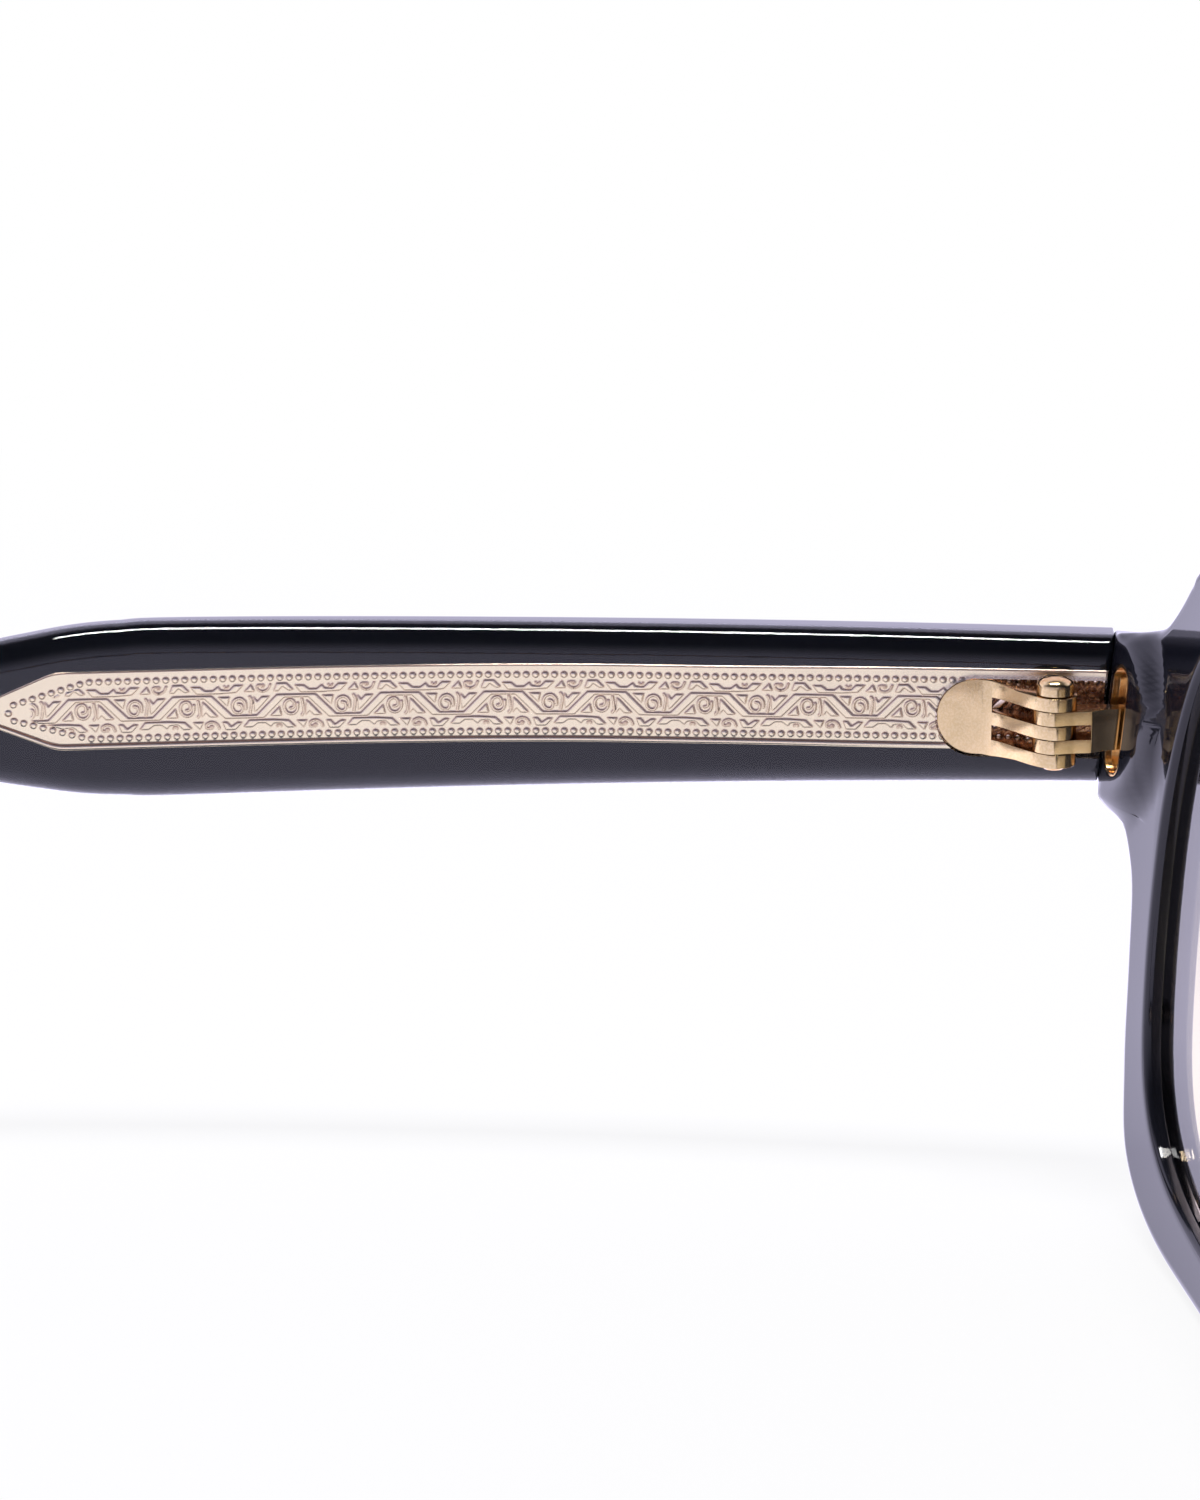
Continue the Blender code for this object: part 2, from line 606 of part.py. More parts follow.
def clear_scene():
    for leftover in list(bpy.data.objects):
        bpy.data.objects.remove(leftover, do_unlink=True)


class Bench:
    """Keeps the collections and the empties, and puts new meshes under them."""

    def __init__(self):
        self.parts = bpy.data.collections.new("sunglasses")
        self.cutters = bpy.data.collections.new("cutters")
        for collection in (self.parts, self.cutters):
            bpy.context.scene.collection.children.link(collection)
        self.stand = self.empty("resting_attitude", None, (0.0, 0.0, 0.0))

    def empty(self, name, parent, location):
        holder = bpy.data.objects.new(name, None)
        self.parts.objects.link(holder)
        holder.parent = parent
        holder.location = location
        return holder

    def add(self, name, shape, parent, material=None, side=1, cutter=False):
        """A mesh in worn-frame points, kept in its parent's coordinates. Side -1 mirrors it to the right."""
        points, faces = shape
        points = np.array(points, float)
        if side < 0:
            points = points * (-1.0, 1.0, 1.0)
            faces = [tuple(reversed(face)) for face in faces]
        if parent is not self.stand:
            points = points - np.array(parent.location)
        mesh = bpy.data.meshes.new(name)
        mesh.from_pydata(points.tolist(), [], faces)
        mesh.validate()
        made = bmesh.new()
        made.from_mesh(mesh)
        bmesh.ops.recalc_face_normals(made, faces=made.faces)
        made.to_mesh(mesh)
        made.free()
        mesh.shade_smooth()
        mesh.set_sharp_from_angle(angle=math.radians(32))
        thing = bpy.data.objects.new(name, mesh)
        (self.cutters if cutter else self.parts).objects.link(thing)
        thing.parent = parent
        if cutter:
            thing.hide_render = True
            thing.display_type = "WIRE"
        elif material:
            mesh.materials.append(material)
        return thing


def combine(target, other, operation):
    modifier = target.modifiers.new(operation.lower() + "_" + other.name, "BOOLEAN")
    modifier.operation = operation
    modifier.solver = "EXACT"
    modifier.object = other


def in_hinge(shape):
    """A shape given in hinge coordinates, moved to the worn frame."""
    points, faces = shape
    frame = hinge_frame()
    return points @ frame[:3, :3].T + frame[:3, 3], faces


def front_leaf_frame():
    """Middle of the front leaf's plate on the rear face, and its directions across, outward and up."""
    x = HINGE_X - FRONT_LEAF_INSET - FRONT_LEAF_WIDTH * np.array([1.0, 0.5, 0.0])
    ends = front_point(x, np.zeros(3), front_rear(x, 0.0))
    across = ends[2] - ends[0]
    across /= np.linalg.norm(across)
    up = front_point(np.zeros(1), np.ones(1), np.zeros(1))[0]
    outward = np.cross(up, across)
    lowest = min((end - ends[1]) @ outward for end in ends)
    return ends[1] + min(0.0, lowest) * outward, across, outward, up


def stadium_prism(width, height, low, high):
    """A round-ended plate in the plane of the front leaf, between two levels out of the rear face."""
    middle, across, outward, up = front_leaf_frame()
    radius = 0.5 * width
    straight = 0.5 * height - radius
    outline = arc((0.0, straight), radius, 0, 180, 11) + arc((0.0, -straight), radius, 180, 360, 11)
    sections = []
    for level in (low, high):
        sections.append([middle + x * across + z * up + level * outward for x, z in outline])
    return loft(np.array(sections))


def add_cutter(bench, name, shape, side, holder):
    return bench.add(name, shape, holder, side=side, cutter=True)


def add_temple_leaf(bench, side, holder, metal):
    """Three barrels on a plate over the core: a side view swept across, trimmed to a round end, slotted."""
    pitch = BARREL_HEIGHT + BARREL_CLEARANCE
    tine = 0.5 * BARREL_HEIGHT + BARREL_CLEARANCE
    tag = "left" if side > 0 else "right"
    height = 0.5 * LEAF_HEIGHT
    shape = in_hinge(prism(temple_leaf_profile(), -PLATE_HEIGHT, PLATE_HEIGHT, axis=2))
    leaf = bench.add("hinge_temple_leaf_" + tag, shape, holder, metal, side)
    front_end = -BARREL_RADIUS - 0.5 * MM
    broad = 0.5 * PLATE_HEIGHT
    flank = [(front_end, height), (BARREL_RADIUS + LEAF_SHOULDER, height), (LEAF_SLOT_END, broad)]
    plan = flank + arc((LEAF_REACH - broad, 0.0), broad, 90, -90, 17) + [(x, -z) for x, z in flank[::-1]]
    trim = in_hinge(prism(plan, -2 * LEAF_HEIGHT, LEAF_HEIGHT, axis=1))
    combine(leaf, add_cutter(bench, "leaf_plan_" + tag, trim, side, holder), "INTERSECT")
    for number, gap in enumerate((-pitch, pitch)):
        low = (2 * front_end, -2 * LEAF_HEIGHT, gap - tine)
        high = (LEAF_SLOT_END, LEAF_HEIGHT, gap + tine)
        slot = in_hinge(box_mesh(low, high))
        combine(leaf, add_cutter(bench, f"leaf_slot_{number}_{tag}", slot, side, holder), "DIFFERENCE")
    add_bore(bench, leaf, holder, side)


def add_bore(bench, leaf, holder, side):
    ring = arc((0.0, 0.0), SCREW_RADIUS + SCREW_CLEARANCE, 0, 360 - 360 / BARREL_SIDES, BARREL_SIDES)
    bore = in_hinge(prism(ring, -LEAF_HEIGHT, LEAF_HEIGHT, axis=2))
    combine(leaf, add_cutter(bench, "bore_" + leaf.name, bore, side, holder), "DIFFERENCE")


def add_front_leaf(bench, side, metal):
    """Two barrels on arms that slope to a round-ended plate, which is sunk in the endpiece."""
    pitch = BARREL_HEIGHT + BARREL_CLEARANCE
    tag = "left" if side > 0 else "right"
    stand = bench.stand
    low = -FRONT_LEAF_SUNK - FRONT_LEAF_THICKNESS
    plate = stadium_prism(FRONT_LEAF_WIDTH, FRONT_LEAF_HEIGHT, low, -FRONT_LEAF_SUNK)
    leaf = bench.add("hinge_front_leaf_" + tag, plate, stand, metal, side)
    half = pitch + 0.5 * BARREL_HEIGHT
    root = AXIS_SETBACK + ARM_ROOT
    slope = [(-root, -0.93 * BARREL_RADIUS), (-root, 0.0), (-WEB_FACE, 0.48 * BARREL_RADIUS)]
    arm = arc((0.0, 0.0), BARREL_RADIUS, 90, -90, 13) + slope + [(-0.76 * BARREL_RADIUS, 0.7 * BARREL_RADIUS)]
    block = add_cutter(bench, "leaf_arm_" + tag, in_hinge(prism(arm, -half, half, axis=2)), side, stand)
    tine = 0.5 * BARREL_HEIGHT + BARREL_CLEARANCE
    notch = in_hinge(box_mesh((-WEB_FACE, -LEAF_HEIGHT, -tine), (LEAF_HEIGHT, LEAF_HEIGHT, tine)))
    combine(block, add_cutter(bench, "leaf_notch_" + tag, notch, side, stand), "DIFFERENCE")
    combine(leaf, block, "UNION")
    add_bore(bench, leaf, stand, side)


def add_screw(bench, side, holder, metal):
    """A turned screw: head on the top barrel, shank through all five, and a riveted end below."""
    tag = "left" if side > 0 else "right"
    top = 0.5 * LEAF_HEIGHT + BARREL_CLEARANCE
    low = -0.5 * LEAF_HEIGHT - BARREL_CLEARANCE
    profile = [
        (0.0, top + SCREW_HEAD_HEIGHT),
        (0.6 * SCREW_HEAD_RADIUS, top + 0.95 * SCREW_HEAD_HEIGHT),
        (SCREW_HEAD_RADIUS, top + 0.7 * SCREW_HEAD_HEIGHT),
        (SCREW_HEAD_RADIUS, top),
        (SCREW_RADIUS, top),
        (SCREW_RADIUS, low),
        (SCREW_END_RADIUS, low),
        (SCREW_END_RADIUS, low - 0.5 * SCREW_END_HEIGHT),
        (0.6 * SCREW_END_RADIUS, low - SCREW_END_HEIGHT),
        (0.0, low - SCREW_END_HEIGHT),
    ]
    mesh = bpy.data.meshes.new("hinge_screw_" + tag)
    edges = [(index, index + 1) for index in range(len(profile) - 1)]
    mesh.from_pydata([(x, 0.0, z) for x, z in profile], edges, [])
    mesh.materials.append(metal)
    screw = bpy.data.objects.new("hinge_screw_" + tag, mesh)
    bench.parts.objects.link(screw)
    screw.parent = holder
    turn = screw.modifiers.new("turned", "SCREW")
    turn.axis = "Z"
    turn.steps = BARREL_SIDES
    turn.render_steps = BARREL_SIDES
    turn.use_merge_vertices = True
    turn.merge_threshold = 0.000001
    turn.use_smooth_shade = True
    return screw


def add_temple(bench, side, materials):
    tag = "left" if side > 0 else "right"
    frame = hinge_frame()
    origin = (side * frame[0, 3], frame[1, 3], frame[2, 3])
    holder = bench.empty("temple_hinge_axis_" + tag, bench.stand, origin)
    outer = bench.add("temple_outer_layer_" + tag, temple_layer(False), holder, materials["black"], side)
    inner = bench.add("temple_inner_layer_" + tag, temple_layer(True), holder, materials["clear"], side)
    bench.add("wire_core_" + tag, core_mesh(), holder, materials["core"], side)
    pocket = core_mesh(CORE_CLEARANCE, cutter=True)
    combine(inner, add_cutter(bench, "core_pocket_" + tag, pocket, side, holder), "DIFFERENCE")
    half = 0.5 * PLATE_HEIGHT + RECESS_CLEARANCE
    reach = LEAF_REACH + RECESS_CLEARANCE
    plan = [(-2 * AXIS_SETBACK, -half), (-2 * AXIS_SETBACK, half)]
    plan += arc((reach - half, 0.0), half, 90, -90, 17)
    recess = in_hinge(prism(plan, leaf_seat() - LEAF_SEAT_GAP, 0.0, axis=1))
    combine(inner, add_cutter(bench, "leaf_recess_" + tag, recess, side, holder), "DIFFERENCE")
    add_temple_leaf(bench, side, holder, materials["gold"])
    add_screw(bench, side, holder, materials["gold"])
    return [outer, inner]


def add_front(bench, materials):
    front = bench.add("front_frame", half_front(), bench.stand, materials["black"])
    mirror = front.modifiers.new("both_halves", "MIRROR")
    mirror.use_axis = (True, False, False)
    mirror.use_clip = True
    mirror.merge_threshold = 0.00001
    for side, tag in ((1, "left"), (-1, "right")):
        low = -FRONT_LEAF_SUNK - FRONT_LEAF_THICKNESS - BOND_GAP
        width, height = FRONT_LEAF_WIDTH + 2 * BOND_GAP, FRONT_LEAF_HEIGHT + 2 * BOND_GAP
        pocket = stadium_prism(width, height, low, AXIS_SETBACK)
        combine(front, add_cutter(bench, "front_leaf_pocket_" + tag, pocket, side, bench.stand), "DIFFERENCE")
        bench.add("lens_" + tag, lens_mesh(), bench.stand, materials["lens"], side)
        bench.add("nose_pad_" + tag, pad_mesh(), bench.stand, materials["black"], side)
        add_front_leaf(bench, side, materials["gold"])
    return front


def world_points(thing):
    return np.array([thing.matrix_world @ corner.co for corner in thing.data.vertices])


def set_down(bench, front, tips):
    """Turns and lifts the stand until rims and temple tips touch the table, then flattens the touch."""
    for _ in range(4):
        bpy.context.view_layer.update()
        rim = world_points(front)
        tip = np.vstack([world_points(thing) for thing in tips])
        tip = tip[tip[:, 1] > tip[:, 1].max() - 30.0 * MM]
        rim_low, tip_low = rim[rim[:, 2].argmin()], tip[tip[:, 2].argmin()]
        angle = math.atan2(tip_low[2] - rim_low[2], tip_low[1] - rim_low[1])
        bench.stand.rotation_euler.x -= angle
        bpy.context.view_layer.update()
    low = min(world_points(front)[:, 2].min(), min(world_points(thing)[:, 2].min() for thing in tips))
    bench.stand.location.z = -low - REST_FLAT
    bpy.context.view_layer.update()
    everything = np.vstack([world_points(front)] + [world_points(thing) for thing in tips])
    bench.stand.location.y = -0.5 * (everything[:, 1].min() + everything[:, 1].max())
    bpy.context.view_layer.update()
    size = 2 * TEMPLE_LENGTH
    corners = [(-size, -size), (size, -size), (size, size), (-size, size)]
    slab = [[(x, y, z) for x, y in corners] for z in (-RIM_WIDTH, 0.0)]
    table = bench.add("table_plane", loft(np.array(slab)), bench.stand, cutter=True)
    table.parent = None
    for thing in [front] + tips:
        combine(thing, table, "DIFFERENCE")


def main():
    clear_scene()
    materials = {
        "black": make_material("black_acetate", (0.012, 0.012, 0.016), 0.12),
        "clear": make_material("clear_acetate", (0.75, 0.76, 0.80), 0.08, alpha=0.35),
        "lens": make_material("gradient_lens", (0.42, 0.29, 0.20), 0.05, alpha=0.55),
        "gold": make_material("gold_plated_hinge", (0.72, 0.45, 0.22), 0.28, metallic=1.0),
        "core": make_material("engraved_core", (0.93, 0.80, 0.70), 0.35, metallic=1.0),
    }
    bench = Bench()
    front = add_front(bench, materials)
    tips = []
    for side in (1, -1):
        tips += add_temple(bench, side, materials)
    set_down(bench, front, tips)
    for tag in ("left", "right"):
        holder = bpy.data.objects["temple_hinge_axis_" + tag]
        axis = holder.matrix_world.to_3x3() @ Vector((0, 0, 1))
        print(tag, "hinge at", tuple(round(v, 6) for v in holder.matrix_world.translation),
              "axis", tuple(round(v, 6) for v in axis))


main()
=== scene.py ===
"""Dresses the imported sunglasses: black and clear acetate, engraved wire cores, gold hinges, tinted lenses.

Shapes are worked out in the worn frame, in metres: X to the wearer's left, the front faces -Y, the temples
run along +Y, Z up, the butt joint at Y = 0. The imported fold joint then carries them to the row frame.
"""
import json
import math

import bmesh
import bpy
import numpy as np
from bpy.props import FloatProperty, FloatVectorProperty, PointerProperty
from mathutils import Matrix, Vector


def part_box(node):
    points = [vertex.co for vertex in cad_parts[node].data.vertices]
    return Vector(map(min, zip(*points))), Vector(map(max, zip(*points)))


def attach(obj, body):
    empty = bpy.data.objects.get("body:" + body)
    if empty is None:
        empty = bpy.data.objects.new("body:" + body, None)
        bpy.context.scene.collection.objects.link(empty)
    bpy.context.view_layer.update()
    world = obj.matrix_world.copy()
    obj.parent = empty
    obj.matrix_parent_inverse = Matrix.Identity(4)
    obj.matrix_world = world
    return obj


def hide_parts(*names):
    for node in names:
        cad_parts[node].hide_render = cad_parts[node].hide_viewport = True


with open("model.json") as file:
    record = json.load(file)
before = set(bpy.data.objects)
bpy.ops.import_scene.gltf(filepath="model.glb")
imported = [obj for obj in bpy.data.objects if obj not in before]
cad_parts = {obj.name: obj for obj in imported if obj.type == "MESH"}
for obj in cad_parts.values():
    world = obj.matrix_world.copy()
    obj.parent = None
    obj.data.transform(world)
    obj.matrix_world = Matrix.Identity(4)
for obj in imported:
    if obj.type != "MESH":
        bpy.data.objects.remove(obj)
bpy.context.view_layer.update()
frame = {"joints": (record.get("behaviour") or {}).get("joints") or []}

bl_info = {
    "name": "Laminated Acetate Sunglasses",
    "version": (1, 0, 0),
    "blender": (4, 5, 0),
    "location": "View3D > Sidebar > Sunglasses",
    "description": "Builds the dressed sunglasses piece by piece around the packed frame",
    "category": "Add Mesh",
}

MM = 0.001
SIDES = ((1, "left"), (-1, "right"))

# The studio's cool white as the polished pieces reflect it
REFLECTED_WHITE = (1.0, 0.955, 1.27)

# Points along the half front's outline, along its mirror seam, and round a turned piece
OUTLINE_RAYS, SEAM_RAYS, ROUND_STEPS = 340, 26, 72

# How far a cutter reaches past what it cuts
PAST = 3 * MM


def length(name, millimetres, about):
    return FloatProperty(name=name, description=about, default=millimetres * MM, precision=5, unit="LENGTH")


def angle(name, degrees, about):
    return FloatProperty(name=name, description=about, default=math.radians(degrees), subtype="ANGLE")


def share(name, value, about):
    return FloatProperty(name=name, description=about, default=value, min=0.0, max=1.0, subtype="FACTOR")


def colour(name, value, about):
    return FloatVectorProperty(
        name=name, description=about, default=value, size=3, min=0.0, max=1.0, subtype="COLOR")


class FrontSizes(bpy.types.PropertyGroup):
    lens_width: length("Lens width", 52.0, "Boxed width of one lens")
    lens_height: length("Lens height", 41.6, "Boxed height of one lens")
    lens_centre_z: length("Lens centre height", -7.47, "Lens centres' height from the temples' centre line")
    bridge_width: length("Bridge width", 23.0, "Least distance between the lenses")
    rim_width: length("Rim width", 3.99, "Width of the rim around a lens")
    thickness: length("Front thickness", 4.49, "Thickness of the front")
    tilt: angle("Front tilt", 5.0, "How far the front leans from square to the temples")
    curve_radius: length("Face curve radius", 180.0, "Radius of the face curve")
    curve_slope: share("Face curve slope", 0.07, "Slope of the face curve at a lens centre")
    bridge_blend: length("Bridge blend", 10.0, "Half width over which the two halves blend")
    edge_radius: length("Edge radius", 1.1, "Rounding of the outer edges")
    butt_edge_radius: length("Butt edge radius", 0.25, "Rounding where the front meets a temple")
    lip_draft: length("Lip draft", 0.07, "How far the lip's edges lean over the lens groove")
    lip_radius: length("Lip radius", 0.5, "Rounding of the lens opening")
    bridge_top: length("Bridge top", 10.83, "Height of the bridge's upper edge")
    bridge_under: length("Bridge underside", 2.03, "Height of the bridge's lower edge")
    endpiece_reach: length("Endpiece reach", 12.3, "From the lens to the end of the front")
    endpiece_step: length("Endpiece step", 1.3, "How far the endpiece stands behind the rim")
    hinge_pad: length("Hinge pad", 4.9, "How far the raised pad reaches inward from the temple's inner face")
    hinge_pad_height: length("Hinge pad height", 10.7, "Height of the raised pad, which ends in an arc")
    step_width: length("Step width", 1.9, "Width over which the rear face steps up to the pad")
    rear_set_forward: length("Rear set forward", 1.7, "How far the rim's rear lies ahead of the butt joint")
    lens_thickness: length("Lens thickness", 1.6, "Thickness of a lens")
    rear_lip_depth: length("Rear lip depth", 1.1, "From the rear face to the lens")
    groove_depth: length("Groove depth", 0.8, "Depth of the groove that holds the lens")
    lens_bevel: length("Lens bevel", 0.6, "How far the lens reaches into its groove")
    lens_clearance: length("Lens clearance", 0.06, "Room around the lens")
    pad_length: length("Pad length", 13.0, "Length of a nose pad")
    pad_width: length("Pad width", 3.6, "Width of a nose pad")
    pad_height: length("Pad height", 3.0, "How far a nose pad stands out of the rear face")
    pad_lean: angle("Pad lean", 22.0, "Lean of a nose pad")
    pad_z: length("Pad height position", -9.07, "Height of a nose pad's middle")


class TempleSizes(bpy.types.PropertyGroup):
    length: length("Temple length", 144.86, "Length along the temple's middle line")
    splay: angle("Splay", 5.65, "Outward angle at the hinge")
    bow_radius: length("Bow radius", 365.0, "Radius of the inward bow")
    bow_end: length("Bow end", 76.0, "Where the bow ends")
    ear_bend_start: length("Ear bend start", 95.0, "Where the ear bend starts")
    ear_bend_radius: length("Ear bend radius", 34.0, "Radius of the ear bend")
    ear_bend: angle("Ear bend", 42.0, "Angle of the ear bend")
    height: length("Height at the hinge", 10.1, "Height of the temple at the butt joint")
    broad_height: length("Greatest height", 12.05, "Height of the temple over the core's shoulder")
    narrow_height: length("Least height", 7.0, "Height of the temple before the ear bend")
    tip_height: length("Tip height", 9.6, "Height of the tip")
    thickness: length("Thickness at the hinge", 4.4, "Thickness of the temple at the butt joint")
    mid_thickness: length("Middle thickness", 3.4, "Thickness half way along")
    tip_thickness: length("Tip thickness", 3.6, "Thickness of the tip")
    broad_end: length("Broad end", 68.95, "Where the temple starts to narrow towards the ear")
    corner_change: angle("Corner change", 52.5, "Where the inner edge's broad arc gives way to a tighter one")
    top_radius: length("Top radius", 1.6, "Radius of the inner edge's tighter arc")
    inner_radius: length("Inner edge radius", 2.15, "Rounding of the edges of the clear inner layer")
    outer_radius: length("Outer edge radius", 0.7, "Rounding of the edges of the black outer layer")
    inner_layer: length("Clear layer", 1.8, "Thickness of the clear inner layer")
    bond_lap: length("Bond lap", 0.02, "How far the black bonding face lies inside the clear layer")
    tip_rounding: length("Tip rounding", 6.0, "Length of the rounded tip")
    butt_gap: length("Butt gap", 0.015, "Least gap between the front and a temple")
    butt_opening: length("Butt opening", 0.42, "How much wider the gap is at the inner face")
    butt_radius: length("Butt rounding", 0.12, "Rounding of the temple's end at the butt joint")


class CoreSizes(bpy.types.PropertyGroup):
    width: length("Core width", 5.55, "Width of the core's plate")
    waist: length("Core waist", 0.15, "How much narrower the plate is away from the hinge")
    thickness: length("Core thickness", 0.95, "Thickness of the core")
    bevel: length("Core bevel", 0.1, "Bevel along the plate's edges")
    start: length("Core start", 0.16, "Where the core starts behind the butt joint")
    shoulder: length("Core shoulder", 70.1, "Where the plate starts to narrow")
    point: length("Core point", 76.6, "Where the narrowing sides would meet")
    arch: length("Core arch", 0.33, "How far the core's middle rises above the temple's middle line")
    shoulder_blend: length("Shoulder blend", 0.7, "Half of the length over which the shoulder is rounded")
    wire_width: length("Wire width", 1.4, "Width of the wire behind the plate")
    wire_end: length("Wire end", 137.0, "Where the wire ends")
    grain: length("Engraving grid", 0.07, "Distance between the points of the engraved face")
    repeat: length("Ornament repeat", 6.92, "Length of one repeat of the ornament")
    repeat_start: length("Ornament place", 52.83, "Middle of one upper run of the meander")
    relief: length("Relief", 0.05, "Height of the raised ornament")
    bead_pitch: length("Bead pitch", 0.632, "Distance between the beads")
    bead_radius: length("Bead radius", 0.215, "Radius of one bead")
    bead_inset: length("Bead inset", 0.83, "From the plate's edge to the beads")
    bead_end: length("Bead end", 3.79, "From the point back to the last pair of beads")
    edge_groove: length("Edge groove", 0.36, "From the plate's lower edge to its groove")


class HingeSizes(bpy.types.PropertyGroup):
    setback: length("Axis setback", 3.5, "From the butt joint to the hinge axis")
    standoff: length("Axis standoff", 2.6, "From the temple's inner face to the hinge axis")
    drop: length("Hinge drop", 0.4, "How far the hinge lies below the temple's middle line")
    barrel_radius: length("Barrel radius", 1.45, "Radius of the barrels")
    barrel_height: length("Barrel height", 0.9, "Height of one barrel")
    barrel_clearance: length("Barrel clearance", 0.05, "Room between two barrels")
    screw_radius: length("Screw radius", 0.6, "Radius of the screw's shank")
    head_radius: length("Head radius", 1.25, "Radius of the screw's head")
    head_height: length("Head height", 1.2, "Height of the screw's head")
    end_radius: length("End radius", 0.75, "Radius of the screw's riveted end")
    leaf_reach: length("Leaf reach", 7.75, "From the axis to the temple leaf's round end")
    plate_height: length("Plate height", 5.15, "Height of the temple leaf's plate")
    leaf_thickness: length("Leaf thickness", 0.45, "Thickness of the temple leaf's plate")
    leaf_seat_gap: length("Leaf seat gap", 0.2, "Room between the leaf and the core")
    bend_start: length("Bend start", 5.1, "Where the temple leaf starts to bend out towards its barrels")
    slot_end: length("Slot end", 4.1, "Where the leaf's slots end")
    recess_clearance: length("Recess clearance", 0.1, "Room around the leaf in the clear layer")
    cup_height: length("Cup height", 7.6, "Height of the oval cup in the endpiece")
    cup_width: length("Cup width", 2.8, "Width of the oval cup in the endpiece")
    cup_depth: length("Cup depth", 0.65, "Thickness of the cup's floor")
    cup_sunk: length("Cup sunk", 0.5, "How deep the cup's floor lies in the endpiece")
    web_face: length("Web face", 2.4, "From the axis to the web between the front prongs")
    edge_bevel: length("Edge bevel", 0.1, "Rounding of the hinge's edges")


class Finishes(bpy.types.PropertyGroup):
    black: colour("Black acetate", (0.0068, 0.0072, 0.0105), "Body colour of the black acetate")
    clear: colour("Clear acetate", (0.985, 0.985, 0.99), "Tint of the clear acetate")
    lens_top: colour("Lens top", (0.17, 0.115, 0.085), "Tint at the top of a lens")
    lens_bottom: colour("Lens bottom", (0.89, 0.785, 0.63), "Tint at the bottom of a lens")
    gold: colour("Hinge gold", (0.74, 0.56, 0.295), "Gold plating of the hinges")
    # Painted shade: the hinge's sides that are seen edge-on take this deeper gold
    gold_edge_on_shade: colour("Deep gold", (0.64, 0.38, 0.155), "Gold of the hinge's turned sides")
    gold_worn: colour("Satin plate", (0.645, 0.49, 0.25), "Duller tone in the satin plating")
    core: colour("Core", (1.0, 0.855, 0.7), "Pale rose gold of the core")
    # Tone of the engraved lines: their own dark fill together with painted shade
    core_line_and_shade: colour("Core grooves", (0.5, 0.2, 0.1), "Tone of the engraved lines")
    black_roughness: share("Black roughness", 0.045, "Roughness of the polished black acetate")
    gold_roughness: share("Gold roughness", 0.19, "Roughness of the gold plating")
    core_roughness: share("Core roughness", 0.22, "Roughness of the engraved face")


class StageSizes(bpy.types.PropertyGroup):
    camera_distance: length("Camera distance", 260.0, "From the camera to the point that it looks at")
    camera_elevation: angle("Camera elevation", 15.0, "Angle of the camera above the temple's plane")
    look_y: length("Look point", 33.7, "Place along the temple that the camera looks at")
    look_z: length("Look height", -2.34, "Height of the point that the camera looks at")
    roll: angle("Roll", 0.2, "How far the camera leans to its right")
    focal: length("Focal length", 93.6, "Focal length on a 36 mm sensor along the picture's height")
    lamp_height: length("Lamp height", 600.0, "Height of the strip lamp above the temple")
    lamp_width: length("Lamp width", 85.0, "Width of the strip lamp")
    lamp_length: length("Lamp length", 330.0, "Length of the strip lamp")
    lamp_shift: length("Lamp shift", 46.0, "How far the lamp's middle lies towards the temple tips")
    lamp_power: FloatProperty(
        name="Lamp power", description="Power of the strip lamp", default=2.9, unit="POWER")
    floor_white: share("Floor white", 0.88, "Share of plain white in the floor near the object")


SETTINGS = {
    "eyewear_front": FrontSizes,
    "eyewear_temple": TempleSizes,
    "eyewear_core": CoreSizes,
    "eyewear_hinge": HingeSizes,
    "eyewear_finish": Finishes,
    "eyewear_stage": StageSizes,
}


def setting(name):
    return getattr(bpy.context.scene, "eyewear_" + name)


def smooth_curve(points, count, closed=False):
    """Points on a Catmull-Rom curve: a cubic span ends at half the slope between its neighbours."""
    points = np.array(points, float)
    if closed:
        padded = np.vstack([points[-1], points, points[0], points[1]])
    else:
        padded = np.vstack([2 * points[0] - points[1], points, 2 * points[-1] - points[-2]])
    part = (np.arange(count) / count)[None, :, None]
    a, b, c, d = padded[:-3, None], padded[1:-2, None], padded[2:-1, None], padded[3:, None]
    cubic = 3 * (b - c) + d - a
    square = 2 * a - 5 * b + 4 * c - d
    line = 0.5 * (2 * b + part * (c - a) + part**2 * square + part**3 * cubic)
    line = line.reshape(-1, points.shape[1])
    return line if closed else np.vstack([line, points[-1]])


def smooth_value(keys, position):
    """A value read at a position from a smooth curve through (position, value) keys."""
    curve = smooth_curve(keys, 24)
    return np.interp(position, curve[:, 0], curve[:, 1])


def smooth_step(value):
    value = np.clip(value, 0.0, 1.0)
    return value * value * (3.0 - 2.0 * value)


def rounding(distance, radius):
    """How far a rounded edge falls away: its radius less a circle's height at that distance."""
    short = np.clip(radius - distance, 0.0, radius)
    return radius - np.sqrt(radius * radius - short * short)


def falloff(distance, width):
    """1 at no distance, and less on both sides along a bell curve."""
    return np.exp(-((distance / width) ** 2))


def distance_to(line, points):
    """Least distance from each point to the segments of an open polyline, worked out in batches."""
    start, run = line[:-1], line[1:] - line[:-1]
    size = np.maximum((run * run).sum(-1), 1e-18)
    parts, pairs_at_once = [], 2000000
    for few in np.array_split(points, max(1, len(points) * len(start) // pairs_at_once)):
        offset = few[:, None, :] - start
        along = np.clip((offset * run).sum(-1) / size, 0.0, 1.0)
        parts.append(np.linalg.norm(offset - along[..., None] * run, axis=-1).min(axis=1))
    return np.concatenate(parts)


def grid_faces(rows, columns):
    """Quads between the neighbours of a grid of points, whose rows each run round and close."""
    row = np.arange(rows - 1)[:, None] * columns
    column = np.arange(columns)[None, :]
    after = (column + 1) % columns
    corners = (row + column, row + after, row + columns + after, row + columns + column)
    return np.stack(corners, axis=-1).reshape(-1, 4)


